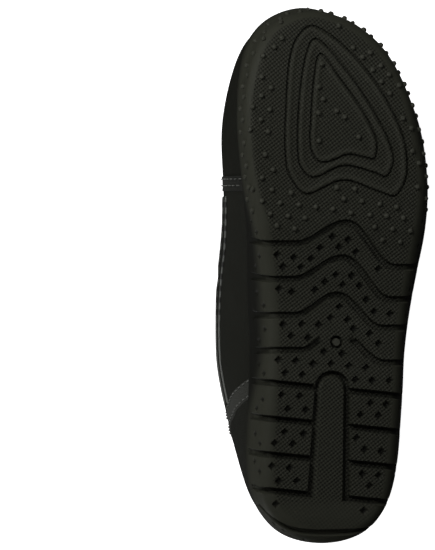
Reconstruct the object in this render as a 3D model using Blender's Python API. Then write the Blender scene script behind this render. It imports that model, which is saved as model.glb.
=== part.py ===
"""Left water shoe with a low rubber cup sole and a soft pull-on upper, lying on its lateral side.

The shoe is modelled upright in its own frame: X runs from heel to toe, Y points to the lateral
side and Z points up from the tread. The whole shoe is then laid on the side that it rests on.
"""
import math

import bmesh
import bpy
import numpy as np
from mathutils import Matrix, Vector
from mathutils.geometry import delaunay_2d_cdt
from mathutils.kdtree import KDTree

# Overall sizes of the sole, in metres
sole_length = 0.286
ball_width = 0.101
wall_rise = 0.021
wall_flare = 0.010
toe_spring = 0.013
arch_lift = 0.0024
heel_thickness = 0.0092
forefoot_thickness = 0.0062
lip_width = 0.0026
wall_thickness = 0.0046

# Overall sizes of the upper, in metres
instep_height = 0.077
toe_height = 0.054
collar_side_height = 0.068
heel_height = 0.076
collar_length = 0.156
upper_wall = 0.0024
binding_radius = 0.0021
insole_thickness = 0.006
fit_gap = 0.0003

# Tread sizes, in metres
groove_width = 0.0038
groove_depth = 0.0022
groove_draft = 0.0007
channel_top_width = 0.0196
channel_end_width = 0.0238
channel_depth = 0.0030
tongue_top_width = 0.0120
tongue_end_width = 0.0142
tongue_slope = 0.0022
bar_pitch = 0.0191
sipe_width = 0.0014
sipe_depth = 0.0012
sipe_draft = 0.0004
drain_radius = 0.0029
drain_groove = 0.0016
wall_span = 0.022
groove_reach = 0.74

# Weight of each piece's stuff, in kilograms per cubic metre
DENSITY = {"outsole": 1200, "insole": 300, "upper": 300, "collar_binding": 300}

# How finely curves are divided
edge_points = 132
fill_step = 0.0105
line_step = 0.0042
vamp_sections = 17
collar_sections = 24
meridian_steps = 11

# Edge of the sole from the heel, medial side, toe and lateral side: place along the sole as a share
# of its length, place across (medial is positive) as a share of the ball width, flare of the side
# wall as a share of wall_flare, and rise of the side wall as a share of wall_rise.
EDGE_COLUMNS = ("along", "across", "flare", "rise")
SOLE_EDGE = (
    (0.000, 0.014, 0.48, 1.00),
    (0.010, 0.173, 0.50, 1.00),
    (0.034, 0.284, 0.52, 1.00),
    (0.078, 0.372, 0.58, 1.00),
    (0.145, 0.412, 0.80, 1.02),
    (0.250, 0.400, 0.82, 1.10),
    (0.370, 0.382, 0.85, 1.20),
    (0.480, 0.396, 0.86, 1.15),
    (0.580, 0.409, 0.58, 1.02),
    (0.680, 0.440, 0.40, 0.95),
    (0.775, 0.465, 0.42, 0.92),
    (0.860, 0.453, 0.48, 0.92),
    (0.925, 0.407, 0.62, 0.95),
    (0.965, 0.324, 0.58, 1.00),
    (0.990, 0.208, 0.56, 1.04),
    (1.000, 0.077, 0.54, 1.05),
    (0.992, -0.039, 0.56, 1.02),
    (0.970, -0.174, 0.52, 0.96),
    (0.925, -0.318, 0.54, 0.90),
    (0.860, -0.432, 0.68, 0.86),
    (0.775, -0.524, 0.90, 0.84),
    (0.670, -0.564, 0.88, 0.83),
    (0.580, -0.549, 1.00, 0.83),
    (0.480, -0.496, 0.98, 0.84),
    (0.370, -0.446, 0.92, 0.84),
    (0.250, -0.422, 0.90, 0.84),
    (0.145, -0.397, 0.92, 0.85),
    (0.078, -0.350, 0.80, 0.89),
    (0.034, -0.266, 0.70, 0.95),
    (0.010, -0.149, 0.54, 0.99),
)

# Bow of the side wall's profile: how early it goes outward and how late it goes up
WALL_BOW_OUT = 0.72
WALL_BOW_UP = 0.40

# Profile of the tread under the foot: place along the sole, arch lift and toe spring as shares.
TREAD_COLUMNS = ("along", "arch", "spring")
TREAD_LINE = (
    (0.00, 0.50, 0.00),
    (0.05, 0.00, 0.00),
    (0.28, 0.00, 0.00),
    (0.36, 0.62, 0.00),
    (0.44, 1.00, 0.00),
    (0.52, 0.62, 0.00),
    (0.60, 0.00, 0.00),
    (0.74, 0.00, 0.00),
    (0.82, 0.00, 0.10),
    (0.90, 0.00, 0.38),
    (0.96, 0.00, 0.72),
    (1.00, 0.00, 1.00),
)

# Three nested rounded triangles under the ball: shares of the length and of the ball width at the
# same twelve places round each, from the apex down the medial side and back up the lateral side.
HEART_COLUMNS = ("outer_along", "outer_across", "middle_along", "middle_across", "inner_along", "inner_across")
HEARTS = (
    (0.964, 0.074, 0.940, 0.064, 0.912, 0.044),
    (0.925, 0.190, 0.905, 0.125, 0.873, 0.080),
    (0.818, 0.238, 0.806, 0.172, 0.790, 0.106),
    (0.705, 0.240, 0.714, 0.174, 0.735, 0.107),
    (0.665, 0.188, 0.688, 0.136, 0.711, 0.066),
    (0.650, 0.128, 0.681, 0.088, 0.711, 0.008),
    (0.676, -0.066, 0.703, -0.068, 0.724, -0.095),
    (0.655, -0.262, 0.690, -0.240, 0.717, -0.205),
    (0.648, -0.352, 0.683, -0.302, 0.716, -0.238),
    (0.692, -0.414, 0.719, -0.340, 0.751, -0.247),
    (0.772, -0.378, 0.790, -0.258, 0.805, -0.174),
    (0.888, -0.187, 0.882, -0.090, 0.868, -0.052),
)

# Wavy grooves across the waist: crest along and across, then the fall towards the heel and the run
# of each side, as shares of the length and of the ball width.
WAVE_COLUMNS = ("crest_along", "crest_across", "medial_fall", "medial_run", "lateral_fall", "lateral_run")
WAVES = (
    (0.604, -0.085, 0.039, 0.270, 0.083, 0.265),
    (0.539, -0.070, 0.040, 0.270, 0.078, 0.255),
    (0.470, -0.040, 0.038, 0.230, 0.062, 0.240),
    (0.402, -0.034, 0.035, 0.190, 0.059, 0.260),
)
DRAIN_ALONG = 0.375
DRAIN_ACROSS = -0.033
SPLIT_WAVE = 3
WAVE_MEDIAL_END = 0.26
WAVE_LATERAL_END = 0.36

# Groove round the heel's tongue and the bars that open into it.
CHANNEL_TOP_ALONG = 0.2885
CHANNEL_TOP_ACROSS = -0.008
CHANNEL_END_ACROSS = 0.010
FIRST_BAR_ALONG = 0.288
BAR_COUNT = 4
BAR_SLOPE = 0.105

# Groove across the back of the heel from the medial to the lateral side: shares of the length and
# of the ball width.
HEEL_GROOVE = ((0.0400, 0.316), (0.0265, 0.215), (0.0213, 0.100), (0.0210, -0.040), (0.0220, -0.130))

# Ridge of the upper from heel to toe, carried on over the opening as if the upper were closed:
# place of a section's foot along the sole, place of its ridge along the sole, and the height of the
# ridge between toe_height (0) and instep_height (1).
RIDGE_COLUMNS = ("foot", "along", "height")
RIDGE = (
    (0.000, 0.105, 2.35),
    (0.050, 0.130, 2.42),
    (0.150, 0.195, 2.50),
    (0.300, 0.310, 2.52),
    (0.420, 0.422, 2.20),
    (0.500, 0.502, 1.62),
    (0.575, 0.573, 0.98),
    (0.660, 0.655, 0.64),
    (0.750, 0.735, 0.37),
    (0.830, 0.795, 0.20),
    (0.900, 0.838, 0.09),
    (0.960, 0.866, 0.00),
    (0.990, 0.876, -0.04),
)

# Side walls of the upper from heel to toe: outward pull on the medial and lateral side as shares of
# the ball width, upward pull as a share of the wall's height, and how far the crown keeps its height
# towards each side as a share of the half width.
SIDE_COLUMNS = ("foot", "medial", "lateral", "upward", "medial_crown", "lateral_crown")
SIDES = (
    (0.00, 0.000, 0.000, 0.50, 0.55, 0.50),
    (0.12, 0.030, 0.000, 0.50, 0.55, 0.48),
    (0.22, 0.180, 0.000, 0.50, 0.56, 0.46),
    (0.34, 0.345, 0.010, 0.52, 0.60, 0.48),
    (0.46, 0.345, 0.020, 0.55, 0.70, 0.54),
    (0.56, 0.310, 0.030, 0.58, 0.76, 0.58),
    (0.66, 0.260, 0.030, 0.58, 0.76, 0.60),
    (0.78, 0.235, 0.020, 0.58, 0.74, 0.58),
    (0.88, 0.150, 0.020, 0.64, 0.70, 0.60),
    (0.99, 0.030, 0.030, 0.72, 0.66, 0.66),
)

# Collar from the heel (0) to its front (1): dip of its edge between the heel and instep heights (0)
# and collar_side_height (1).
COLLAR_COLUMNS = ("share", "dip")
COLLAR = (
    (0.00, 0.00),
    (0.18, 0.50),
    (0.40, 1.00),
    (0.62, 0.98),
    (0.82, 0.62),
    (1.00, 0.00),
)
COLLAR_HEEL = 0.020
COLLAR_CROWDING = 0.80
VAMP_CROWDING = 0.50
RIDGE_ACROSS = 0.010


def column(rows, columns, name, where):
    """Read one column of a table at a place in its first column, with a smooth step between rows."""
    index = columns.index(name)
    if where <= rows[0][0]:
        return rows[0][index]
    for low, high in zip(rows, rows[1:]):
        if where <= high[0]:
            share = (where - low[0]) / (high[0] - low[0])
            return low[index] + (high[index] - low[index]) * share * share * (3 - 2 * share)
    return rows[-1][index]


def spline_column(rows, columns, name, where):
    """Read one column of a table on a smooth curve through all its rows."""
    index = columns.index(name)
    keys = [row[0] for row in rows]
    values = [row[index] for row in rows]
    last = len(rows) - 1
    span = max(0, min(last - 1, sum(1 for key in keys if key <= where) - 1))
    slopes = []
    for end in (span, span + 1):
        before = max(end - 1, 0)
        after = min(end + 1, last)
        slopes.append((values[after] - values[before]) / (keys[after] - keys[before]))
    width = keys[span + 1] - keys[span]
    share = (where - keys[span]) / width
    rest = 1 - share
    return (
        values[span] * (1 + 2 * share) * rest * rest
        + slopes[0] * width * share * rest * rest
        + values[span + 1] * (3 - 2 * share) * share * share
        - slopes[1] * width * rest * share * share
    )


def curve_through(rows, closed, per_span=14):
    """Dense points on a smooth curve through the rows; each column is carried along."""
    rows = np.asarray(rows, float)
    count = len(rows)
    spans = count if closed else count - 1
    gaps = [np.linalg.norm((rows[(i + 1) % count] - rows[i])[:2]) for i in range(spans)]
    slopes = []
    for i in range(count):
        if closed:
            slopes.append((rows[(i + 1) % count] - rows[i - 1]) / (gaps[i] + gaps[i - 1]))
        else:
            before, after = max(i - 1, 0), min(i + 1, count - 1)
            slopes.append((rows[after] - rows[before]) / sum(gaps[before:after]))
    dense = []
    for i in range(spans):
        after = (i + 1) % count
        for share in np.arange(per_span) / per_span:
            rest = 1 - share
            dense.append(
                rows[i] * (1 + 2 * share) * rest * rest
                + slopes[i] * gaps[i] * share * rest * rest
                + rows[after] * (3 - 2 * share) * share * share
                - slopes[after] * gaps[i] * rest * share * share
            )
    if not closed:
        dense.append(rows[-1])
    return np.array(dense)


def even_points(dense, count, closed):
    """Spread points evenly along a dense line, by the length of its first two columns."""
    line = np.vstack([dense, dense[:1]]) if closed else dense
    steps = np.linalg.norm(np.diff(line[:, :2], axis=0), axis=1)
    travelled = np.concatenate([[0.0], np.cumsum(steps)])
    wanted = np.linspace(0.0, travelled[-1], count + 1 if closed else count)
    points = np.stack([np.interp(wanted, travelled, line[:, i]) for i in range(line.shape[1])], axis=1)
    return points[:-1] if closed else points


def even_line(dense, step, closed):
    """Spread points along a dense line about one step apart."""
    line = np.vstack([dense, dense[:1]]) if closed else dense
    length = np.linalg.norm(np.diff(line[:, :2], axis=0), axis=1).sum()
    return even_points(dense, max(4, round(length / step)), closed)


def side_normals(points, closed):
    """Unit normals to the right of a line's direction of travel."""
    if closed:
        travel = np.roll(points[:, :2], -1, axis=0) - np.roll(points[:, :2], 1, axis=0)
    else:
        travel = np.gradient(points[:, :2], axis=0)
    normals = np.stack([travel[:, 1], -travel[:, 0]], axis=1)
    return normals / np.linalg.norm(normals, axis=1)[:, None]


def tread_height(along):
    """Height of the tread over the ground plane at a place along the sole."""
    share = along / sole_length
    arch = column(TREAD_LINE, TREAD_COLUMNS, "arch", share)
    spring = spline_column(TREAD_LINE, TREAD_COLUMNS, "spring", min(max(share, 0.0), 1.0))
    return arch * arch_lift + max(spring, 0.0) * toe_spring * (share > 0.74)


def floor_height(along):
    """Height of the floor inside the cup of the sole."""
    share = min(max((along / sole_length - 0.30) / 0.30, 0.0), 1.0)
    blend = share * share * (3 - 2 * share)
    return tread_height(along) + heel_thickness + (forefoot_thickness - heel_thickness) * blend


class SoleEdge:
    """The tread's edge and the side wall that rises from it."""

    def __init__(self):
        rows = [(a * sole_length, b * ball_width, f * wall_flare, r * wall_rise) for a, b, f, r in SOLE_EDGE]
        fine = even_points(curve_through(rows, True), edge_points * 4, True)
        self.rim = fine[:, :2]
        self.flare = fine[:, 2]
        self.rise = fine[:, 3]
        outward = -side_normals(self.rim, True)
        middle = self.rim.mean(axis=0)
        if np.sum(outward * (self.rim - middle)) < 0:
            outward = -outward
        self.outward = outward
        self.tread = self.rim - outward * self.flare[:, None]
        self.tree = KDTree(len(self.tread))
        for index, point in enumerate(self.tread):
            self.tree.insert((point[0], point[1], 0.0), index)
        self.tree.balance()

    def locate(self, point):
        """Nearest place on the tread's edge: spot, outward direction, signed distance, flare, rise."""
        _, index, _ = self.tree.find((point[0], point[1], 0.0))
        best = None
        for start in (index - 1, index):
            first, second = start % len(self.tread), (start + 1) % len(self.tread)
            along = self.tread[second] - self.tread[first]
            share = float(np.dot(np.asarray(point[:2]) - self.tread[first], along) / np.dot(along, along))
            share = min(max(share, 0.0), 1.0)
            spot = self.tread[first] + along * share
            away = float(np.linalg.norm(np.asarray(point[:2]) - spot))
            if best is None or away < best[0]:
                best = (away, first, second, share, spot)
        away, first, second, share, spot = best
        outward = self.outward[first] * (1 - share) + self.outward[second] * share
        side = float(np.dot(np.asarray(point[:2]) - spot, outward))
        flare = self.flare[first] * (1 - share) + self.flare[second] * share
        rise = self.rise[first] * (1 - share) + self.rise[second] * share
        return spot, outward, math.copysign(away, side), flare, rise

    def floor_inset(self, along, flare, rise):
        """Distance from the rim to the inner wall at the cup's floor, so that the wall stays solid."""
        level = (floor_height(along) - tread_height(along)) / rise
        rest = 1 - 2 * WALL_BOW_UP
        share = (math.sqrt(WALL_BOW_UP * WALL_BOW_UP + rest * level) - WALL_BOW_UP) / rest
        return flare * (1 - self.wall_point(share)[0]) + wall_thickness

    def wall_point(self, share):
        """Shares of flare and rise on the side wall's profile, slightly bowed, and their slopes."""
        rest = 1 - share
        out = 2 * rest * share * WALL_BOW_OUT + share * share
        up = 2 * rest * share * WALL_BOW_UP + share * share
        out_slope = 2 * (rest - share) * WALL_BOW_OUT + 2 * share
        up_slope = 2 * (rest - share) * WALL_BOW_UP + 2 * share
        return out, up, out_slope, up_slope

    def lay(self, point, depth):
        """Put a point of the flat pattern on the sole's surface, sunk into it by a depth."""
        spot, outward, distance, flare, rise = self.locate(point)
        share = min(max(distance / wall_span, 0.0), 1.0)
        out, up, out_slope, up_slope = self.wall_point(share)
        inward = Vector((-outward[0] * rise * up_slope, outward[1] * rise * up_slope, flare * out_slope))
        inward.normalize()
        if distance <= 0:
            base = Vector((point[0], -point[1], tread_height(point[0])))
        else:
            place = spot + outward * flare * out
            base = Vector((place[0], -place[1], tread_height(spot[0]) + rise * up))
        corner = min(max(distance / groove_depth * 0.5 + 0.5, 0.0), 1.0)
        direction = Vector((0, 0, 1)).lerp(inward, corner).normalized()
        return base + direction * depth

    def reach(self, start, direction, distance):
        """Walk from a point inside the tread until the given distance past the tread's edge."""
        near, far = 0.0, ball_width
        for _ in range(40):
            middle = (near + far) / 2
            place = (start[0] + direction[0] * middle, start[1] + direction[1] * middle)
            if self.locate(place)[2] < distance:
                near = middle
            else:
                far = middle
        return near

    def floor_ring(self, gap, count):
        """Points round the cup's floor, inward from its inner wall by a gap."""
        insets = [self.floor_inset(*place) + gap for place in zip(self.rim[:, 0], self.flare, self.rise)]
        return even_points(self.rim - self.outward * np.array(insets)[:, None], count, True)


def with_edge_crossings(edge, loop):
    """Add a point wherever a closed line crosses the tread's edge, so that the corner stays crisp."""
    points = []
    for first, second in zip(loop, np.roll(loop, -1, axis=0)):
        points.append(first)
        start, end = edge.locate(first)[2], edge.locate(second)[2]
        if start * end < 0:
            low, high = 0.0, 1.0
            for _ in range(30):
                middle = (low + high) / 2
                if edge.locate(first + (second - first) * middle)[2] * start > 0:
                    low = middle
                else:
                    high = middle
            points.append(first + (second - first) * (low + high) / 2)
    return np.array(points)


def strip(centre, half, trim):
    """Closed outline of a groove that follows a line, narrowed and shortened by a trim."""
    normals = side_normals(centre, False)
    line = centre.copy()
    for end, neighbour in ((0, 1), (-1, -2)):
        back = line[neighbour] - line[end]
        line[end] = line[end] + back / np.linalg.norm(back) * trim
    right = line + normals * (half - trim)
    left = line - normals * (half - trim)
    return np.vstack([right, left[::-1]])


def groove(edge, centre, half, depth, draft):
    """A groove with sloped walls along a line."""
    top = with_edge_crossings(edge, strip(centre, half, 0.0))
    bottom = with_edge_crossings(edge, strip(centre, half, draft))
    return {"loops": ((top, 0.0), (bottom, depth)), "island": None}


def ring_groove(line, half, depth, draft):
    """A groove with sloped walls along a closed line, round an island."""
    normals = side_normals(line, True)
    loops = []
    for offset, sunk in ((half, 0.0), (half - draft, depth), (draft - half, depth), (-half, 0.0)):
        loops.append((line + normals * offset, sunk))
    if np.linalg.norm(loops[0][0] - line.mean(axis=0), axis=1).mean() < np.linalg.norm(
        loops[-1][0] - line.mean(axis=0), axis=1
    ).mean():
        loops.reverse()
    return {"loops": tuple(loops), "island": loops[2][0]}


def wave_line(row, from_side, to_side):
    """Centre of one wavy groove between two places across the sole."""
    wave = dict(zip(WAVE_COLUMNS, row))
    across = np.linspace(from_side, to_side, max(6, round(abs(to_side - from_side) / line_step)))
    crest = wave["crest_across"] * ball_width
    points = []
    for place in across:
        side = "medial" if place > crest else "lateral"
        run = wave[side + "_run"] * ball_width
        turn = min(abs(place - crest) / run, 1.0) * math.pi
        fall = wave[side + "_fall"] * sole_length * (1 - math.cos(turn)) / 2
        points.append((wave["crest_along"] * sole_length - groove_width / 2 - fall, place))
    return np.array(points)


def to_side_wall(edge, line):
    """Lengthen a line at the ends that lie near the tread's edge, out over the side wall."""
    points = list(line)
    for at_end in (False, True):
        tip = points[-1] if at_end else points[0]
        direction = np.array((0.0, math.copysign(1.0, tip[1])))
        if abs(tip[1]) < ball_width * 0.2:
            continue
        to_edge = edge.reach(tip, direction, 0.0)
        to_end = edge.reach(tip, direction, wall_span * groove_reach)
        extra = [tip + direction * to_edge, tip + direction * (to_edge + to_end) / 2, tip + direction * to_end]
        points = points + extra if at_end else extra[::-1] + points
    return np.array(points)


def wave_grooves(edge):
    """Every wavy groove; the last is split on either side of the drain."""
    grooves = []
    medial = WAVE_MEDIAL_END * ball_width
    lateral = -WAVE_LATERAL_END * ball_width
    split = drain_radius + drain_groove + groove_width * 0.6
    drain = DRAIN_ACROSS * ball_width
    for index, row in enumerate(WAVES):
        sides = [(medial, lateral)]
        if index == SPLIT_WAVE:
            sides = [(medial, drain + split), (drain - split, lateral)]
        for start, end in sides:
            line = to_side_wall(edge, wave_line(row, start, end))
            grooves.append(groove(edge, line, groove_width / 2, groove_depth, groove_draft))
    return grooves


def channel_side(along, side, top_width, end_width, trim):
    """Across place of one side of the heel channel, or of the tongue that stands in it."""
    share = (CHANNEL_TOP_ALONG * sole_length - along) / (bar_pitch * (BAR_COUNT - 1))
    middle = (CHANNEL_TOP_ACROSS + (CHANNEL_END_ACROSS - CHANNEL_TOP_ACROSS) * share) * ball_width
    return middle + side * ((top_width + (end_width - top_width) * share) / 2 - trim)


def channel_arc(radius, steps):
    """Rounded top of the channel or of its tongue, from the lateral to the medial side."""
    top = CHANNEL_TOP_ALONG * sole_length
    centre = channel_side(top, 0, 0.0, 0.0, 0.0)
    arc = []
    for step in range(1, steps):
        angle = math.pi * step / steps
        arc.append(np.array((top + radius * math.sin(angle), centre - radius * math.cos(angle))))
    return arc


def channel_outline(edge, trim, tongue_trim):
    """Closed line round the groove that runs up and over the heel's tongue, with its bars."""
    half = groove_width / 2 - trim
    bars = [FIRST_BAR_ALONG * sole_length - bar_pitch * index for index in range(BAR_COUNT)]
    top = CHANNEL_TOP_ALONG * sole_length
    sides = []
    for side in (1, -1):
        points = []
        for index, bar in enumerate(bars):
            inner = channel_side(bar, side, channel_top_width, channel_end_width, trim)
            start = np.array((bar + BAR_SLOPE * inner, inner))
            direction = np.array((BAR_SLOPE * side, side))
            direction = direction / np.linalg.norm(direction)
            length = edge.reach(start, direction, wall_span * groove_reach - trim)
            to_edge = edge.reach(start, direction, 0.0)
            upper = np.array((half, 0.0))
            stops = (0.0, to_edge / 2, to_edge, length)
            points += [start + direction * stop + upper for stop in stops]
            points += [start + direction * stop - upper for stop in reversed(stops)]
        points.pop()
        for stop in range(4):
            along = bars[-1] + (top - bars[-1]) * stop / 4
            across = channel_side(along, side, tongue_top_width, tongue_end_width, -tongue_trim)
            drop = (half - BAR_SLOPE * across) * (1 - stop / 4)
            points.append(np.array((along - drop, across)))
        sides.append(points)
    tongue = channel_arc(tongue_top_width / 2 + tongue_trim, 8)
    arc = channel_arc(channel_top_width / 2 - trim, 10)
    return with_edge_crossings(edge, np.array(sides[0] + tongue[::-1] + sides[1][::-1] + arc))


def tread_features(edge):
    """All the grooves of the tread, none of them touching another."""
    features = wave_grooves(edge)
    channel = channel_outline(edge, 0.0, 0.0), channel_outline(edge, groove_draft, tongue_slope)
    features.append({"loops": ((channel[0], 0.0), (channel[1], channel_depth)), "island": None})
    rows = [(along * sole_length, across * ball_width) for along, across in HEEL_GROOVE]
    line = even_line(curve_through(rows, False), line_step, False)
    ends = []
    for tip, neighbour in ((line[0], line[1]), (line[-1], line[-2])):
        direction = (tip - neighbour) / np.linalg.norm(tip - neighbour)
        to_end = edge.reach(tip, direction, wall_span * groove_reach)
        ends.append([tip + direction * stop for stop in (to_end / 3, to_end * 2 / 3, to_end)])
    line = np.vstack([ends[0][::-1], line, ends[1]])
    features.append(groove(edge, line, groove_width / 2, groove_depth, groove_draft))
    for name in ("outer", "middle", "inner"):
        along = HEART_COLUMNS.index(name + "_along")
        across = HEART_COLUMNS.index(name + "_across")
        rows = [(row[along] * sole_length, row[across] * ball_width) for row in HEARTS]
        line = even_line(curve_through(rows, True), line_step, True)
        features.append(ring_groove(line, sipe_width / 2, sipe_depth, sipe_draft))
    middle = np.array((DRAIN_ALONG * sole_length, DRAIN_ACROSS * ball_width))
    angles = np.arange(24) / 24 * 2 * math.pi
    radius = drain_radius + drain_groove / 2
    circle = middle + radius * np.stack([np.cos(angles), np.sin(angles)], axis=1)
    features.append(ring_groove(circle, drain_groove / 2, groove_depth, sipe_draft))
    return features


def inside(loop, point):
    """Whether a point lies inside a closed line."""
    after = np.roll(loop, -1, axis=0)
    spans = (loop[:, 1] > point[1]) != (after[:, 1] > point[1])
    rise = np.where(after[:, 1] == loop[:, 1], 1.0, after[:, 1] - loop[:, 1])
    crossing = loop[:, 0] + (point[1] - loop[:, 1]) / rise * (after[:, 0] - loop[:, 0])
    return bool(np.count_nonzero(spans & (crossing > point[0])) % 2)


def near(loop, point, clearance):
    """Whether a point lies within a clearance of a closed line."""
    along = np.roll(loop, -1, axis=0) - loop
    length = np.maximum((along * along).sum(axis=1), 1e-12)
    share = np.clip(((point - loop) * along).sum(axis=1) / length, 0.0, 1.0)
    away = np.linalg.norm(loop + along * share[:, None] - point, axis=1)
    return bool(away.min() < clearance)


def depth_at(features, point, clearance):
    """Depth of the tread's surface at a point, or None on or near a groove's wall."""
    depth = 0.0
    for feature in features:
        top, bottom = feature["loops"][0][0], feature["loops"][1]
        low, high = top.min(axis=0) - clearance, top.max(axis=0) + clearance
        if np.any(point < low) or np.any(point > high):
            continue
        if any(near(loop, point, clearance) for loop, _ in feature["loops"]):
            return None
        if inside(top, point):
            in_island = feature["island"] is not None and inside(feature["island"], point)
            if not in_island:
                if not inside(bottom[0], point):
                    return None
                depth = bottom[1]
    return depth


def fill_points(edge, features):
    """Loose points that carry the curves of the tread, its corner and the side wall."""
    chosen = []
    rows = int(sole_length / fill_step) + 1
    columns = int(ball_width / fill_step) + 2
    for i in range(rows):
        for j in range(-columns, columns):
            point = np.array((i * fill_step, (j + 0.5 * (i % 2)) * fill_step))
            if edge.locate(point)[2] < -fill_step * 0.45:
                chosen.append(point)
    for share, count in ((0.0, edge_points), (0.35, edge_points // 2), (0.70, edge_points // 2)):
        around = even_points(edge.tread + edge.outward * wall_span * share, count, True)
        chosen += list(around)
    kept = []
    for point in chosen:
        depth = depth_at(features, point, groove_draft * 1.6)
        if depth is not None:
            kept.append((point, depth))
    return kept


def triangulate(points, loops):
    """Triangles between closed lines and loose points; returns places, faces and first sources."""
    edges = []
    for start, count in loops:
        edges += [(start + i, start + (i + 1) % count) for i in range(count)]
    flat = [Vector((point[0], point[1])) for point in points]
    places, _, faces, sources, _, _ = delaunay_2d_cdt(flat, edges, [], 1, 1e-7)
    return places, faces, [source[0] if source else None for source in sources]


def add_object(name, vertices, faces, colour, roughness, angle=35):
    """Make one closed, smooth-shaded object with its own material."""
    mesh = bpy.data.meshes.new(name)
    mesh.from_pydata([tuple(vertex) for vertex in vertices], [], faces)
    work = bmesh.new()
    work.from_mesh(mesh)
    bmesh.ops.triangulate(work, faces=work.faces)
    bmesh.ops.recalc_face_normals(work, faces=work.faces)
    if work.calc_volume(signed=True) < 0:
        bmesh.ops.reverse_faces(work, faces=work.faces)
    work.to_mesh(mesh)
    work.free()
    mesh.shade_smooth()
    mesh.set_sharp_from_angle(angle=math.radians(angle))
    material = bpy.data.materials.new(name + "_material")
    material.use_nodes = True
    shader = material.node_tree.nodes["Principled BSDF"]
    shader.inputs["Base Color"].default_value = (*colour, 1)
    shader.inputs["Roughness"].default_value = roughness
    shader.inputs["Metallic"].default_value = 0
    mesh.materials.append(material)
    item = bpy.data.objects.new(name, mesh)
    bpy.context.scene.collection.objects.link(item)
    return item


def floor_patch(ring, lift):
    """Triangles inside a ring that follow the floor of the cup, with the ring's points first."""
    points = [np.array(point) for point in ring]
    rows = int(sole_length / fill_step) + 1
    columns = int(ball_width / fill_step) + 2
    for i in range(rows):
        for j in range(-columns, columns):
            point = np.array((i * fill_step, j * fill_step))
            if inside(ring, point) and not near(ring, point, fill_step * 0.5):
                points.append(point)
    places, faces, sources = triangulate(points, [(0, len(ring))])
    vertices = [None] * len(points)
    for place, source in zip(places, sources):
        vertices[source] = Vector((place[0], -place[1], floor_height(place[0]) + lift))
    return vertices, [[sources[corner] for corner in face] for face in faces]


def make_outsole(edge):
    """The cup sole: grooved tread, side wall, lip, inner wall and floor in one closed solid."""
    features = tread_features(edge)
    outline = even_points(edge.tread + edge.outward * wall_span, edge_points, True)
    points = list(outline)
    depths = [0.0] * len(points)
    loops = [(0, len(points))]
    for feature in features:
        for loop, depth in feature["loops"]:
            loops.append((len(points), len(loop)))
            points += list(loop)
            depths += [depth] * len(loop)
    for point, depth in fill_points(edge, features):
        points.append(point)
        depths.append(depth)
    places, faces, sources = triangulate(points, loops)
    vertices = []
    ring = {}
    for index, (place, source) in enumerate(zip(places, sources)):
        vertices.append(edge.lay(place, depths[source] if source is not None else 0.0))
        if source is not None and source < edge_points:
            ring[source] = index
    faces = [list(face) for face in faces]
    outer = [ring[index] for index in range(edge_points)]
    lip = []
    wall = []
    for index in outer:
        spot, outward, _, flare, rise = edge.locate(places[index])
        place = spot + outward * (flare - lip_width)
        lip.append(len(vertices))
        vertices.append(Vector((place[0], -place[1], vertices[index].z)))
        wall.append(spot + outward * (flare - edge.floor_inset(spot[0], flare, rise)))
    patch, patch_faces = floor_patch(np.array(wall), 0.0)
    start = len(vertices)
    vertices += patch
    for i in range(edge_points):
        after = (i + 1) % edge_points
        faces.append([outer[i], outer[after], lip[after], lip[i]])
        faces.append([lip[i], lip[after], start + after, start + i])
    faces += [[start + corner for corner in face] for face in patch_faces]
    return add_object("outsole", vertices, faces, (0.019, 0.020, 0.015), 0.62, 28)


def make_insole(edge):
    """A flat footbed that fills the upper's open underside."""
    ring = edge.floor_ring(upper_wall + fit_gap * 4, edge_points)
    vertices = []
    faces = []
    for lift, flip in ((fit_gap * 2, True), (fit_gap * 2 + insole_thickness, False)):
        patch, patch_faces = floor_patch(ring, lift)
        start = len(vertices)
        vertices += patch
        faces += [[start + corner for corner in (reversed(face) if flip else face)] for face in patch_faces]
    second = len(vertices) // 2
    for i in range(edge_points):
        after = (i + 1) % edge_points
        faces.append([i, after, second + after, second + i])
    return add_object("insole", vertices, faces, (0.030, 0.031, 0.028), 0.9, 40)


def collar_height(along):
    """Height of the collar's edge at a place along the sole."""
    share = min(max((along / sole_length - COLLAR_HEEL) * sole_length / collar_length, 0.0), 1.0)
    ends = heel_height + (instep_height - heel_height) * share
    return ends + (collar_side_height - ends) * spline_column(COLLAR, COLLAR_COLUMNS, "dip", share)


def ridge_point(foot):
    """Point on the ridge for a section whose foot stands at a share of the sole's length."""
    along = spline_column(RIDGE, RIDGE_COLUMNS, "along", foot) * sole_length
    level = spline_column(RIDGE, RIDGE_COLUMNS, "height", foot)
    return Vector((along, -RIDGE_ACROSS * ball_width, toe_height + (instep_height - toe_height) * level))


def crowded(share, amount):
    """An even share moved so that the steps are closer together at both ends."""
    return share - amount * math.sin(2 * math.pi * share) / (2 * math.pi)


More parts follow.
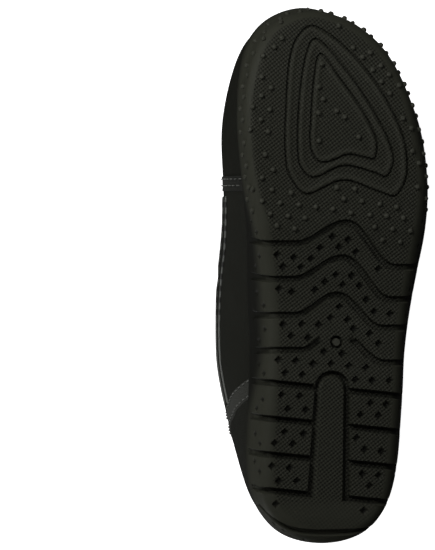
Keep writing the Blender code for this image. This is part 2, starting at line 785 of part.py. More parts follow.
class FootRing:
    """The upper's foot inside the rim of the sole, as two lines from toe to heel."""

    def __init__(self, edge, inset):
        line = edge.rim - edge.outward * inset
        toe = int(np.argmax(edge.rim[:, 0]))
        self.lines = {1: line[:toe + 1][::-1], -1: np.vstack([line[toe:], line[:1]])}

    def point(self, share, side):
        """Place on one side at a share of the way from the toe to the heel."""
        line = self.lines[side]
        travelled = np.concatenate([[0.0], np.cumsum(np.linalg.norm(np.diff(line, axis=0), axis=1))])
        wanted = share * travelled[-1]
        return np.array([np.interp(wanted, travelled, line[:, axis]) for axis in (0, 1)])

    def foot(self, share):
        """Middle place along the sole of both sides, as a share of its length."""
        return (self.point(share, 1)[0] + self.point(share, -1)[0]) / 2 / sole_length

    def front(self):
        """Share at which the ridge meets the collar's edge."""
        low, high = 0.2, 0.7
        for _ in range(40):
            middle = (low + high) / 2
            ridge = ridge_point(self.foot(middle))
            if ridge.z < collar_height(ridge.x):
                low = middle
            else:
                high = middle
        return low

    def shares(self):
        """Sections from toe to heel, closer together at the collar's front and at the heel."""
        front = self.front()
        places = [front * crowded(index / vamp_sections, VAMP_CROWDING) for index in range(vamp_sections)]
        for index in range(collar_sections + 1):
            places.append(front + (1 - front) * crowded(index / collar_sections, COLLAR_CROWDING))
        return places


def section_curve(edge, base, foot, side):
    """Lip point and the four controls of a section's curve from the lip to the ridge."""
    spot, outward, _, _, rise = edge.locate(base)
    lip = Vector((base[0], -base[1], tread_height(spot[0]) + rise))
    top = ridge_point(foot)
    away = Vector((outward[0], -outward[1], 0))
    pull = spline_column(SIDES, SIDE_COLUMNS, "medial" if side > 0 else "lateral", foot) * ball_width
    climb = top.z - lip.z
    first = lip + Vector((0, 0, climb * spline_column(SIDES, SIDE_COLUMNS, "upward", foot))) + away * pull
    before, after = ridge_point(max(foot - 0.02, 0.0)), ridge_point(min(foot + 0.02, 0.99))
    slope = (after.z - before.z) / (after.x - before.x)
    level = Vector((lip.x - top.x, lip.y - top.y, 0))
    tangent = level + Vector((0, 0, level.x * slope))
    crown = spline_column(SIDES, SIDE_COLUMNS, "medial_crown" if side > 0 else "lateral_crown", foot)
    return lip, first, top + tangent * crown, top


def curve_point(controls, share):
    """Point on a curve with four controls."""
    rest = 1 - share
    start, first, second, end = controls
    return (
        start * rest ** 3
        + first * 3 * rest * rest * share
        + second * 3 * rest * share * share
        + end * share ** 3
    )


def section_side(edge, base, foot, side, closed):
    """Points up one side of a section, from the floor of the cup to the ridge or the collar."""
    controls = section_curve(edge, base, foot, side)
    spot, outward, _, flare, rise = edge.locate(base)
    low_base = base - outward * (edge.floor_inset(spot[0], flare, rise) - lip_width)
    end = 1.0
    if not closed:
        low, high = 0.0, 1.0
        for _ in range(40):
            middle = (low + high) / 2
            point = curve_point(controls, middle)
            if point.z < collar_height(point.x):
                low = middle
            else:
                high = middle
        end = low
    floor_point = Vector((low_base[0], -low_base[1], floor_height(low_base[0]) + fit_gap))
    points = [floor_point, controls[0]]
    for step in range(1, meridian_steps + 1):
        points.append(curve_point(controls, end * step / meridian_steps))
    return points


def upper_surface(edge):
    """Outer surface of the upper: vertices, quads, foot ring and collar ring."""
    ring = FootRing(edge, lip_width + fit_gap * 2)
    shares = ring.shares()
    last = len(shares) - 1
    vertices = []
    grid = {}
    for index, share in enumerate(shares):
        foot = ring.foot(share)
        for side in (1, -1):
            if side < 0 and index in (0, last):
                for step in range(meridian_steps + 2):
                    grid[index, side, step] = grid[index, 1, step]
                continue
            points = section_side(edge, ring.point(share, side), foot, side, index <= vamp_sections)
            for step, point in enumerate(points):
                if side < 0 and step == meridian_steps + 1 and index <= vamp_sections:
                    grid[index, side, step] = grid[index, 1, step]
                else:
                    grid[index, side, step] = len(vertices)
                    vertices.append(point)
    faces = []
    for side in (1, -1):
        for index in range(last):
            for step in range(meridian_steps + 1):
                quad = [
                    grid[index, side, step],
                    grid[index + 1, side, step],
                    grid[index + 1, side, step + 1],
                    grid[index, side, step + 1],
                ]
                if side < 0:
                    quad.reverse()
                faces.append(quad)
    foot_ring = [grid[index, 1, 0] for index in range(last + 1)]
    foot_ring += [grid[index, -1, 0] for index in range(last - 1, 0, -1)]
    top = meridian_steps + 1
    collar = [grid[index, 1, top] for index in range(vamp_sections, last + 1)]
    collar += [grid[index, -1, top] for index in range(last - 1, vamp_sections, -1)]
    return vertices, faces, foot_ring, collar


def surface_normals(vertices, faces):
    """Area-weighted normals of a surface at its vertices."""
    normals = [Vector((0, 0, 0)) for _ in vertices]
    for face in faces:
        a, b, c, d = (vertices[corner] for corner in face)
        normal = (c - a).cross(d - b)
        for corner in face:
            normals[corner] += normal
    return [normal.normalized() for normal in normals]


def make_upper_and_binding(edge):
    """The hollow upper, open at the collar and underneath, and the bound roll on its collar."""
    outer, faces, foot, collar = upper_surface(edge)
    normals = surface_normals(outer, faces)
    middle = sum(outer, Vector((0, 0, 0))) / len(outer)
    if sum((vertex - middle).dot(normal) for vertex, normal in zip(outer, normals)) < 0:
        normals = [-normal for normal in normals]
    feet = set(foot)
    inner = []
    for index, (vertex, normal) in enumerate(zip(outer, normals)):
        if index in feet:
            normal = Vector((normal.x, normal.y, 0)).normalized()
        inner.append(vertex - normal * upper_wall)
    count = len(outer)
    solid = [list(face) for face in faces]
    solid += [[corner + count for corner in reversed(face)] for face in faces]
    for loop in (foot, collar):
        for first, second in zip(loop, loop[1:] + loop[:1]):
            solid.append([first, second, second + count, first + count])
    upper = add_object("upper", outer + inner, solid, (0.011, 0.011, 0.009), 0.85, 40)
    centres = []
    for index, top in enumerate(collar):
        travel = outer[collar[(index + 1) % len(collar)]] - outer[collar[index - 1]]
        onward = travel.cross(normals[top]).normalized()
        centres.append((outer[top] + inner[top]) / 2 + onward * (fit_gap + binding_radius))
    binding = make_roll("collar_binding", centres, binding_radius)
    return upper, binding


def make_roll(name, centres, radius):
    """A closed round roll along a ring of points."""
    sides = 8
    vertices = []
    for index, centre in enumerate(centres):
        travel = (centres[(index + 1) % len(centres)] - centres[index - 1]).normalized()
        across = travel.cross(Vector((0, 0, 1))).normalized()
        lift = across.cross(travel)
        for step in range(sides):
            angle = 2 * math.pi * step / sides
            vertices.append(centre + across * radius * math.cos(angle) + lift * radius * math.sin(angle))
    faces = []
    for index in range(len(centres)):
        after = (index + 1) % len(centres)
        for step in range(sides):
            beside = (step + 1) % sides
            faces.append(
                [index * sides + step, index * sides + beside, after * sides + beside, after * sides + step]
            )
    return add_object(name, vertices, faces, (0.014, 0.014, 0.012), 0.9, 60)


def centre_of_mass(items):
    """Centre of the solids' mass."""
    total = 0.0
    moment = Vector((0, 0, 0))
    for item in items:
        for face in item.data.polygons:
            a, b, c = (item.data.vertices[index].co for index in face.vertices)
            mass = a.dot(b.cross(c)) / 6 * DENSITY[item.name]
            total += mass
            moment += (a + b + c) / 4 * mass
    return moment / total


def resting_pose(items, down):
    """Pose in which the solids lie on the hull face below their centre that faces most nearly down."""
    centre = centre_of_mass(items)
    hull = bmesh.new()
    for item in items:
        for vertex in item.data.vertices:
            hull.verts.new(vertex.co)
    result = bmesh.ops.convex_hull(hull, input=hull.verts, use_existing_faces=False)
    unused = [part for part in result["geom_interior"] if isinstance(part, bmesh.types.BMVert)]
    bmesh.ops.delete(hull, geom=unused, context="VERTS")
    bmesh.ops.recalc_face_normals(hull, faces=hull.faces)
    hull.normal_update()
    best = None
    for face in hull.faces:
        a, b, c = (vertex.co for vertex in face.verts[:3])
        drop = centre + face.normal * (a - centre).dot(face.normal)
        sides = [(b - a).cross(drop - a), (c - b).cross(drop - b), (a - c).cross(drop - c)]
        if all(side.dot(face.normal) >= 0 for side in sides):
            facing = face.normal.dot(down)
            if best is None or facing > best[0]:
                best = (facing, face.normal.copy(), [vertex.co.copy() for vertex in face.verts])
    hull.free()
    turn = best[1].rotation_difference(Vector((0, 0, -1))).to_matrix().to_4x4()
    toe = turn @ Vector((1, 0, 0))
    turn = Matrix.Rotation(-math.atan2(toe.y, toe.x), 4, "Z") @ turn
    corners = [turn @ vertex.co for item in items for vertex in item.data.vertices]
    low = Vector([min(corner[axis] for corner in corners) for axis in range(3)])
    high = Vector([max(corner[axis] for corner in corners) for axis in range(3)])
    shift = Vector((-(low.x + high.x) / 2, -(low.y + high.y) / 2, -low.z))
    return Matrix.Translation(shift) @ turn


def main():
    for item in list(bpy.data.objects):
        bpy.data.objects.remove(item)
    edge = SoleEdge()
    items = [make_outsole(edge), make_insole(edge)]
    items += make_upper_and_binding(edge)
    pose = bpy.data.objects.new("lying_pose", None)
    bpy.context.scene.collection.objects.link(pose)
    pose.matrix_world = resting_pose(items, Vector((0, 1, 0)))
    for item in items:
        item.parent = pose
    bpy.context.view_layer.update()


main()
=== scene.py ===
"""Looks of the left water shoe: rubber cup sole, stretch upper, knit bands, pipings and stitches.

Shapes are made in the shoe's own frame and then laid on the shoe's lateral side, where the CAD
solids lie: X runs from heel to toe, Y points to the lateral side and Z points up from the tread.
"""
import math

import bmesh
import bpy
import numpy as np
from mathutils import Matrix, Vector
from mathutils.geometry import delaunay_2d_cdt
from mathutils.kdtree import KDTree


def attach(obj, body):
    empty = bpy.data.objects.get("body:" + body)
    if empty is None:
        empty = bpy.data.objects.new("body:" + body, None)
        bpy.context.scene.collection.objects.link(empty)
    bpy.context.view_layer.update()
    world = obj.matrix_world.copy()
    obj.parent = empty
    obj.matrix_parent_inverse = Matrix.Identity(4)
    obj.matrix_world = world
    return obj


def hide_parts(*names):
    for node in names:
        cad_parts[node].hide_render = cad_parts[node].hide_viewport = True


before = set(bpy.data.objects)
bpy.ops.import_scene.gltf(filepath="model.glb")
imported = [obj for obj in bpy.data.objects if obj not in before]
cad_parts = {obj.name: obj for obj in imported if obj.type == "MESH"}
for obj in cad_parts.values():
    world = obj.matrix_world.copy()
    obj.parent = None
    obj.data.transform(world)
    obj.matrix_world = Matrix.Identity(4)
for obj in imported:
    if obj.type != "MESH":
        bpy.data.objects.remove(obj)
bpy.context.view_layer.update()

# Pose of the lying shoe in the frame
LYING_POSE = Matrix((
    (0.9928082, 0.1174245, 0.0233091, -0.1420197),
    (0.0, -0.1947051, 0.9808618, -0.0365191),
    (0.1197156, -0.9738077, -0.1933048, 0.037533),
    (0.0, 0.0, 0.0, 1.0),
))

# The photograph: size in pixels, metres for each pixel, tilt of the camera from straight on to the
# tread towards the medial side, the pixels of the sole's centre line and of its heel end, and the
# column about which the nubs' columns count the other way
photo_width = 435
photo_height = 550
photo_scale = 0.0005316
photo_tilt = math.radians(12.5)
photo_centre_line = 331
photo_heel_end = 544
nub_mirror = 437

# Overall sizes of the sole, in metres
sole_length = 0.286
ball_width = 0.101
wall_rise = 0.021
wall_flare = 0.010
toe_spring = 0.013
arch_lift = 0.0024
heel_thickness = 0.0092
forefoot_thickness = 0.0062
lip_width = 0.0026
wall_thickness = 0.0046

# Overall sizes of the upper, in metres
instep_height = 0.077
toe_height = 0.054
collar_side_height = 0.068
heel_height = 0.076
collar_length = 0.156
upper_wall = 0.0024
binding_radius = 0.0021
insole_thickness = 0.006
fit_gap = 0.0003

# Tread sizes, in metres
groove_width = 0.0038
groove_depth = 0.0022
groove_draft = 0.0007
channel_top_width = 0.0196
channel_end_width = 0.0238
channel_depth = 0.0030
tongue_top_width = 0.0120
tongue_end_width = 0.0142
tongue_slope = 0.0022
bar_pitch = 0.0191
sipe_width = 0.0014
sipe_depth = 0.0012
sipe_draft = 0.0004
drain_radius = 0.0019
drain_groove = 0.0017
wall_span = 0.022
groove_reach = 0.95

# Fine shapes of the rubber, in metres
groove_runout = 0.0040
bar_runout = 0.0030
wall_groove_start = 0.006
wall_groove_slope = 0.26
wall_groove_depth = 0.0010
shoulder_width = 0.0044
shoulder_drop = 0.0021
shoulder_span = 0.005
corner_span = 0.0033
edge_span = 0.0015
lip_round = 0.0007
nub_radius = 0.0016
nub_height = 0.0014
pit_half = 0.0026
pit_depth = 0.0016
wall_pit_half = 0.00208
small_moves = (0.0, 0.0007, 0.0014)
toe_bevel_reach = 0.0045
toe_bevel_drop = 0.0012
toe_bevel_fade = (0.010, 0.018)
wall_nub_pitch = 0.0062
wall_nub_distances = (0.0068, 0.0122)
wall_rows = (0.0100, 0.0118, 0.0132)
bead_offset = 0.0019
bead_height = 0.00060
bead_reach = 0.0010
bead_step = 0.0004
wall_line_start = 0.0145
wall_line_pitch = 0.0019
wall_line_height = 0.00024
wall_line_count = 4

# Looks of the rubber: how much a bead smooths the knurl and is paler, partly from wear and partly a
# painted highlight; painted shade on a groove's floor, a channel's, a thin sipe's and a pit's; painted
# shade under the lip and its width, where that starts, and how the knurl ends at the tread's edge
bead_smoothing = 0.5
bead_wear_and_highlight = 0.4
groove_shade = 0.32
channel_shade = 0.45
sipe_shade = 0.3
pit_shade = 0.75
rim_shade = 0.97
rim_shade_width = 0.0110
rim_shade_start = 0.0045
rim_shade_shift = 0.0105
heel_knurl = 0.45
heel_knurl_fade = (0.018, 0.026)
knurl_fade = 0.0010
knurl_toe_margin = 0.0010
knurl_waist_margin = 0.0032
knurl_medial_overlap = 0.0012
knurl_pitch = 0.00165
knurl_turn = math.radians(37)

# Bands, pipings and stitches, in metres; sizes with "level" are shares of the way up the upper
vamp_band_front = 0.1960
vamp_band_back = 0.1877
heel_band_low = 0.084
heel_band_high = 0.060
heel_band_width = 0.0112
piping_radius = 0.00055
piping_dash_pitch = 0.0064
piping_dash_start = (0.112, 0.126)
piping_lift = piping_radius * 0.55
piping_steps = 220
piping_taper = 6
stitch_radius = 0.00030
vamp_stitch_levels = (0.03, 0.97, 0.036)
vamp_stitch_level = 0.020
heel_stitch_levels = (0.06, 0.94, 0.07)
heel_stitch_level = 0.038
roll_rib = 0.035
roll_flatness = 0.92
quarter_start = vamp_band_back - 0.002
band_top = 0.0004
band_edge_roll = 0.00025
band_rim = -0.0002
band_underside = -0.0006
band_rim_share = 0.01
band_roll_middle = 0.09
band_roll_half = 0.07

# Floor, background and camera
floor_reach = 6.0
floor_glow = 1.0
world_strength = 0.034
camera_lens = 480
camera_sensor = 36

# Lights: those set by tilts in degrees from straight off the tread, towards the medial side and the
# toe, then those set by a direction in the frame; each with its distance, size and power
SHOE_LIGHTS = {
    "key": (40, 36, 1.1, 0.6, 9.0),
    "fill": (34, -48, 1.3, 0.8, 2.0),
    "front": (-6, 28, 1.4, 0.3, 2.4),
}
ROOM_LIGHTS = {
    "top": ((0.0, 0.5, 1.0), 2.5, 2.5, 0.6),
    "back": ((-0.8, 0.6, 0.4), 1.6, 0.8, 9.0),
}
light_aim = Vector((0.0, 0.0, 0.05))

# Rubber: its colour, and the colours of its clouds, of its rubbed places with a painted highlight on
# nub tops, the drain's disc and beads, of dust, of the painted shade in the knurl's valleys and of the
# painted shade in grooves and under the lip, each with the share it takes; then the heights and scales
# of the bumps and the levels of dust and of the valleys' painted shade
rubber_colour = (0.0262, 0.0272, 0.0196)
cloud_colour, cloud_share = (0.0290, 0.0295, 0.0215), 0.5
rubbed_and_highlight_colour, rubbed_and_highlight_share = (0.052, 0.053, 0.043), 0.35
dust_colour, dust_share = (0.060, 0.054, 0.042), 0.35
valley_shade_colour, valley_shade_share = (0.0030, 0.0032, 0.0022), 0.66
shade_colour, shade_share = (0.0010, 0.0011, 0.0008), 0.85
knurl_height = 0.00018
grain_height = 0.00008
grain_scale = 2600
cloud_scale = 55
dust_scale = 900
dust_level = 0.70
valley_shade_level = 0.45

# Cloths: base colour, colour of its clouds, pitch of its threads, roughness and sheen
CLOTHS = {
    "stretch_cloth": ((0.0068, 0.0072, 0.0052), (0.0105, 0.0110, 0.0080), 0.0007, 0.72, 0.0),
    "lining_cloth": ((0.016, 0.016, 0.015), (0.024, 0.024, 0.022), 0.0011, 0.85, 0.03),
    "knit_band": ((0.0115, 0.012, 0.0102), (0.021, 0.022, 0.019), 0.0009, 0.8, 0.04),
    "heel_knit": ((0.022, 0.023, 0.0195), (0.058, 0.060, 0.052), 0.0011, 0.8, 0.04),
    "binding_cloth": ((0.012, 0.012, 0.011), (0.018, 0.018, 0.016), 0.0008, 0.8, 0.04),
    "footbed_cloth": ((0.024, 0.025, 0.023), (0.034, 0.035, 0.032), 0.0010, 0.9, 0.03),
}
weave_height = 0.22
fuzz_scale = 900
fuzz_height = 0.00012
cloth_cloud_scale = 70
cloth_cloud_share = 0.6
twist_scale = 1500
twist_height = 0.00015
piping_colour = (0.11, 0.115, 0.105)
sewn_piping_colour = (0.012, 0.012, 0.011)
# Painted light: a lighter copy of the stretch cloth's colour for the quarter, where it is lit
lit_quarter_colour = (0.0108, 0.0114, 0.0086)
thread_colour = (0.095, 0.098, 0.088)

# How finely curves are divided
edge_points = 480
fill_step = 0.0023
heart_step = 0.0012
line_step = 0.0016
vamp_sections = 84
shoulder_share = 0.93
ridge_step = 0.02
ridge_end = 0.99
collar_sections = 130
meridian_steps = 44
floor_step = 0.006
footbed_low_step = 0.007
footbed_top_step = 0.0035
band_rows = 60
band_columns = 17
roll_sides = 16
piping_sides = 10
stitch_sides = 8
tongue_arc_steps = 20
channel_arc_steps = 22
drain_steps = 36
nub_steps = 10

# Edge of the sole from the heel, medial side, toe and lateral side: place along the sole as a share
# of its length, place across (medial is positive) as a share of the ball width, flare of the side
# wall as a share of wall_flare, and rise of the side wall as a share of wall_rise.
SOLE_EDGE = (
    (0.000, 0.014, 0.48, 1.00),
    (0.010, 0.173, 0.50, 1.00),
    (0.034, 0.284, 0.52, 1.00),
    (0.078, 0.372, 0.58, 1.00),
    (0.145, 0.412, 0.80, 1.02),
    (0.250, 0.400, 0.82, 1.10),
    (0.370, 0.382, 0.85, 1.20),
    (0.480, 0.396, 0.86, 1.15),
    (0.580, 0.409, 0.58, 1.02),
    (0.680, 0.440, 0.40, 0.95),
    (0.775, 0.465, 0.42, 0.92),
    (0.860, 0.453, 0.48, 0.92),
    (0.925, 0.407, 0.62, 0.95),
    (0.965, 0.324, 0.58, 1.00),
    (0.990, 0.208, 0.56, 1.04),
    (1.000, 0.077, 0.54, 1.05),
    (0.992, -0.039, 0.56, 1.02),
    (0.970, -0.174, 0.52, 0.96),
    (0.925, -0.318, 0.54, 0.90),
    (0.860, -0.432, 0.68, 0.86),
    (0.775, -0.524, 0.90, 0.84),
    (0.670, -0.564, 0.88, 0.83),
    (0.580, -0.549, 1.00, 0.83),
    (0.480, -0.496, 0.98, 0.84),
    (0.370, -0.446, 0.92, 0.84),
    (0.250, -0.422, 0.90, 0.84),
    (0.145, -0.397, 0.92, 0.85),
    (0.078, -0.350, 0.80, 0.89),
    (0.034, -0.266, 0.70, 0.95),
    (0.010, -0.149, 0.54, 0.99),
)

# Bow of the solid side wall's profile, which the cup's inner wall keeps clear of
WALL_BOW_OUT = 0.72
WALL_BOW_UP = 0.40

# Places along the sole, as shares of its length: where the toe spring starts, where the cup's floor
# goes from the heel's thickness to the forefoot's, where the knurl and the lip's shadow move out from
# the waist to the forefoot or the heel, where the wall's nubs end and where the toe's bevel is
SPRING_START = 0.74
FLOOR_BLEND = (0.30, 0.60)
KNURL_WAIST_END = (0.58, 0.70)
SHADE_FOREFOOT = (0.56, 0.68)
SHADE_HEEL = (0.22, 0.36)
WALL_NUB_BACK = 0.60
TOE_BEVEL_ALONG = (0.80, 0.88)
TOE_BEVEL_ACROSS = (-0.06, 0.10)

# Rows of points on the tread's edge and on the wall's corner, as shares of their half spans; margins
# of the loose points round the sipes, towards the tread's edge and across, and clearances to lines
EDGE_ROWS = (-1.0, -0.3, 0.3, 1.0)
CORNER_ROWS = (-0.9, -0.55, -0.2, 0.2, 0.6, 1.0)
heart_box_margin = 0.002
heart_margin = 0.003
fill_margin = fill_step * 0.6
fill_across = 0.62
loose_clearance = line_step * 0.35
small_clearance = line_step * 0.4

# Outlines and profiles of the small shapes: size as a share of the outline, and depth
PIT_CORNERS = ((1, 0), (0.5, 0.5), (0, 1), (-0.5, 0.5), (-1, 0), (-0.5, -0.5), (0, -1), (0.5, -0.5))
NUB_RINGS = ((1.0, 0.0), (0.80, -nub_height * 0.66), (0.42, -nub_height))
PIT_RINGS = ((1.0, 0.0), (0.52, pit_depth))
WALL_PIT_RINGS = ((1.0, 0.0), (0.60, pit_depth * 0.35))

# Lip of the sole: inset from the rim and drop as a share of lip_round
LIP_RINGS = (
    (lip_round * 0.3, 0.3),
    (lip_round, 0.0),
    (lip_width - lip_round * 0.6, 0.0),
    (lip_width, 0.6),
)

# Footbed: rows of its edge as further inset and share of its thickness, the inset of its top, and how
# far from the sole's edge its hollows are full; then the hollows' place along the sole, half length
# and depth
FOOTBED_EDGE = ((0.0, 0.72), (0.0005, 0.93))
footbed_top_inset = 0.0016
footbed_hollow_edge = 0.03
FOOTBED_HOLLOWS = ((0.13, 0.10, 0.0012), (0.68, 0.11, 0.0007))

# Rows of stitches: share of the way across the band, and shift of their levels
VAMP_STITCHES = ((0.20, 0.0), (0.62, 0.02))
HEEL_STITCHES = ((0.14, 0.0), (0.86, 0.0))

# A direction that no tube runs along
TUBE_SIDE = Vector((0.31, 0.17, 0.93))

# Share along a stitch, lift and size as a share of stitch_radius
STITCH_PROFILE = (
    (0.0, -0.0001, 0.6),
    (0.18, 0.0007, 1.0),
    (0.5, 0.00095, 1.05),
    (0.82, 0.0007, 1.0),
    (1.0, -0.0001, 0.6),
)

# Profile of the tread under the foot: place along the sole, arch lift and toe spring as shares.
TREAD_COLUMNS = ("along", "arch", "spring")
TREAD_LINE = (
    (0.00, 0.50, 0.00),
    (0.05, 0.00, 0.00),
    (0.28, 0.00, 0.00),
    (0.36, 0.62, 0.00),
    (0.44, 1.00, 0.00),
    (0.52, 0.62, 0.00),
    (0.60, 0.00, 0.00),
    (0.74, 0.00, 0.00),
    (0.82, 0.00, 0.10),
    (0.90, 0.00, 0.38),
    (0.96, 0.00, 0.72),
    (1.00, 0.00, 1.00),
)

# Three nested rounded triangles under the ball: shares of the length and of the ball width at the
# same twelve places round each, from the apex down the medial side and back up the lateral side.
HEART_NAMES = ("outer", "middle", "inner")
HEARTS = (
    (0.964, 0.074, 0.940, 0.064, 0.912, 0.044),
    (0.925, 0.190, 0.905, 0.125, 0.873, 0.080),
    (0.818, 0.238, 0.806, 0.172, 0.790, 0.106),
    (0.705, 0.240, 0.714, 0.174, 0.735, 0.107),
    (0.665, 0.188, 0.688, 0.136, 0.711, 0.066),
    (0.650, 0.128, 0.681, 0.088, 0.711, 0.008),
    (0.676, -0.066, 0.703, -0.068, 0.724, -0.095),
    (0.655, -0.262, 0.690, -0.240, 0.717, -0.205),
    (0.648, -0.352, 0.683, -0.302, 0.716, -0.238),
    (0.692, -0.414, 0.719, -0.340, 0.751, -0.247),
    (0.772, -0.378, 0.790, -0.258, 0.805, -0.174),
    (0.888, -0.187, 0.882, -0.090, 0.868, -0.052),
)

# Wavy grooves across the waist: crest along and across, then the fall towards the heel and the run
# of each side, as shares of the length and of the ball width.
WAVE_COLUMNS = ("crest_along", "crest_across", "medial_fall", "medial_run", "lateral_fall", "lateral_run")
WAVES = (
    (0.604, -0.085, 0.039, 0.270, 0.083, 0.265),
    (0.539, -0.070, 0.040, 0.270, 0.078, 0.255),
    (0.470, -0.040, 0.038, 0.230, 0.062, 0.240),
    (0.402, -0.034, 0.035, 0.190, 0.059, 0.260),
)
DRAIN_ALONG = 0.375
DRAIN_ACROSS = -0.033
SPLIT_WAVE = 3
WAVE_MEDIAL_END = 0.26
WAVE_LATERAL_END = 0.36

# Groove round the heel's tongue and the bars that open into it.
CHANNEL_TOP_ALONG = 0.2885
CHANNEL_TOP_ACROSS = -0.008
CHANNEL_END_ACROSS = 0.010
FIRST_BAR_ALONG = 0.288
BAR_COUNT = 4
BAR_SLOPE = 0.105

# Groove across the back of the heel from the medial to the lateral side: shares of the length and
# of the ball width.
HEEL_GROOVE = ((0.0400, 0.316), (0.0265, 0.215), (0.0213, 0.100), (0.0210, -0.040), (0.0220, -0.130))

# Ridge of the upper from heel to toe, carried on over the opening as if the upper were closed:
# place of a section's foot along the sole, place of its ridge along the sole, and the height of the
# ridge between toe_height (0) and instep_height (1).
RIDGE_COLUMNS = ("foot", "along", "height")
RIDGE = (
    (0.000, 0.105, 2.35),
    (0.050, 0.130, 2.42),
    (0.150, 0.195, 2.50),
    (0.300, 0.310, 2.52),
    (0.420, 0.422, 2.20),
    (0.500, 0.502, 1.62),
    (0.575, 0.573, 0.98),
    (0.660, 0.655, 0.64),
    (0.750, 0.735, 0.37),
    (0.830, 0.795, 0.20),
    (0.900, 0.838, 0.09),
    (0.960, 0.866, 0.00),
    (0.990, 0.876, -0.04),
)

# Side walls of the upper from heel to toe: outward pull on the medial and lateral side as shares of
# the ball width, upward pull as a share of the wall's height, and how far the crown keeps its height
# towards each side as a share of the half width.
SIDE_COLUMNS = ("foot", "medial", "lateral", "upward", "medial_crown", "lateral_crown")
SIDES = (
    (0.00, 0.000, 0.000, 0.50, 0.55, 0.50),
    (0.12, 0.030, 0.000, 0.50, 0.55, 0.48),
    (0.22, 0.180, 0.000, 0.50, 0.56, 0.46),
    (0.34, 0.345, 0.010, 0.52, 0.60, 0.48),
    (0.46, 0.345, 0.020, 0.55, 0.70, 0.54),
    (0.56, 0.310, 0.030, 0.58, 0.76, 0.58),
    (0.66, 0.260, 0.030, 0.58, 0.76, 0.60),
    (0.78, 0.235, 0.020, 0.58, 0.74, 0.58),
    (0.88, 0.150, 0.020, 0.64, 0.70, 0.60),
    (0.99, 0.030, 0.030, 0.72, 0.66, 0.66),
)

# Collar from the heel (0) to its front (1): dip of its edge between the heel and instep heights (0)
# and collar_side_height (1).
COLLAR_COLUMNS = ("share", "dip")
COLLAR = (
    (0.00, 0.00),
    (0.18, 0.50),
    (0.40, 1.00),
    (0.62, 0.98),
    (0.82, 0.62),
    (1.00, 0.00),
)
COLLAR_HEEL = 0.020
COLLAR_CROWDING = 0.80
VAMP_CROWDING = 0.50
RIDGE_ACROSS = 0.010

# Pits and nubs of the tread as pixels of the photograph; the nubs' columns are mirrored.
PITS = (
    (278, 255), (295, 258), (284, 267), (312, 259), (321, 248), (333, 237), (349, 240), (340, 250),
    (357, 252), (374, 255), (302, 270), (381, 269), (398, 268), (326, 282), (337, 275), (344, 285),
    (353, 276), (361, 286), (281, 288), (293, 292), (316, 290), (368, 300), (385, 300), (341, 307),
    (376, 312), (392, 314), (332, 318), (286, 323), (303, 323), (320, 325), (349, 320), (354, 330),
    (372, 333), (389, 333), (292, 336), (309, 338), (362, 342), (380, 344), (280, 359), (297, 361),
    (314, 364), (325, 352), (343, 354), (332, 364), (350, 366), (367, 368), (384, 369), (286, 373),
    (303, 375), (356, 380), (373, 381), (390, 381), (282, 395), (300, 396), (288, 409), (306, 410),
    (371, 402), (388, 404), (361, 415), (379, 416), (285, 432), (304, 434), (275, 443), (293, 444),
    (357, 437), (374, 436), (365, 450), (382, 452), (272, 466), (290, 468), (279, 481), (297, 481),
    (363, 473), (381, 474), (352, 484), (370, 486), (276, 504), (365, 510),
)
NUBS = (
    (94, 25), (81, 47), (64, 52), (72, 58), (54, 65), (64, 71), (46, 74), (55, 82), (36, 85),
    (46, 93), (36, 118), (25, 128), (32, 138), (25, 150), (17, 163), (19, 187), (152, 20), (152, 38),
    (171, 37), (160, 47), (172, 56), (174, 77), (165, 88), (175, 96), (167, 110), (184, 107),
    (176, 120), (169, 132), (187, 130), (172, 155), (164, 170), (175, 178), (165, 190), (185, 190),
    (114, 63), (117, 87), (113, 99), (100, 111), (118, 113), (92, 117), (78, 137), (118, 141),
    (64, 190), (82, 189), (100, 185), (57, 204), (75, 201), (93, 199), (128, 195), (146, 193),
    (40, 207), (121, 207), (138, 205), (157, 203), (104, 209), (175, 201), (33, 218), (50, 216),
    (67, 215), (86, 213), (132, 218), (149, 216), (167, 214), (26, 231), (44, 229), (62, 227),
    (142, 229), (160, 226), (36, 242), (54, 240),
)

# Soft creases of the upper: side (medial 1, lateral -1), both ends as a place along the sole as a
# share of its length and a level from the lip (0) to the ridge or collar (1), width and depth.
CREASE_COLUMNS = ("side", "from_along", "from_level", "to_along", "to_level", "width", "depth")
CREASES = (
    (1, 0.700, 0.98, 0.655, 0.60, 0.0045, 0.0008),
    (1, 0.742, 0.98, 0.700, 0.55, 0.0055, 0.0006),
    (-1, 0.706, 0.98, 0.668, 0.58, 0.0045, 0.0008),
    (-1, 0.748, 0.98, 0.712, 0.52, 0.0055, 0.0006),
    (1, 0.560, 0.86, 0.480, 0.52, 0.0060, 0.0007),
    (-1, 0.556, 0.84, 0.470, 0.46, 0.0060, 0.0008),
    (1, 0.330, 0.70, 0.200, 0.42, 0.0090, 0.0007),
    (-1, 0.330, 0.66, 0.210, 0.38, 0.0080, 0.0008),
    (1, 0.090, 0.62, 0.160, 0.34, 0.0060, 0.0005),
    (-1, 0.085, 0.60, 0.150, 0.32, 0.0060, 0.0006),
    (1, 0.520, 0.24, 0.420, 0.20, 0.0075, -0.0005),
    (-1, 0.520, 0.24, 0.420, 0.20, 0.0075, -0.0005),
)

# Light pipings along the medial topline, from the vamp band to the heel band: place along the sole
# in metres and height over the tread of the outer and of the inner one.
PIPING_COLUMNS = ("along", "outer_height", "inner_height")
PIPINGS = (
    (0.074, 0.0600, 0.0520),
    (0.085, 0.0630, 0.0545),
    (0.100, 0.0640, 0.0555),
    (0.120, 0.0615, 0.0540),
    (0.140, 0.0560, 0.0480),
    (0.160, 0.0480, 0.0405),
    (0.185, 0.0430, 0.0360),
)


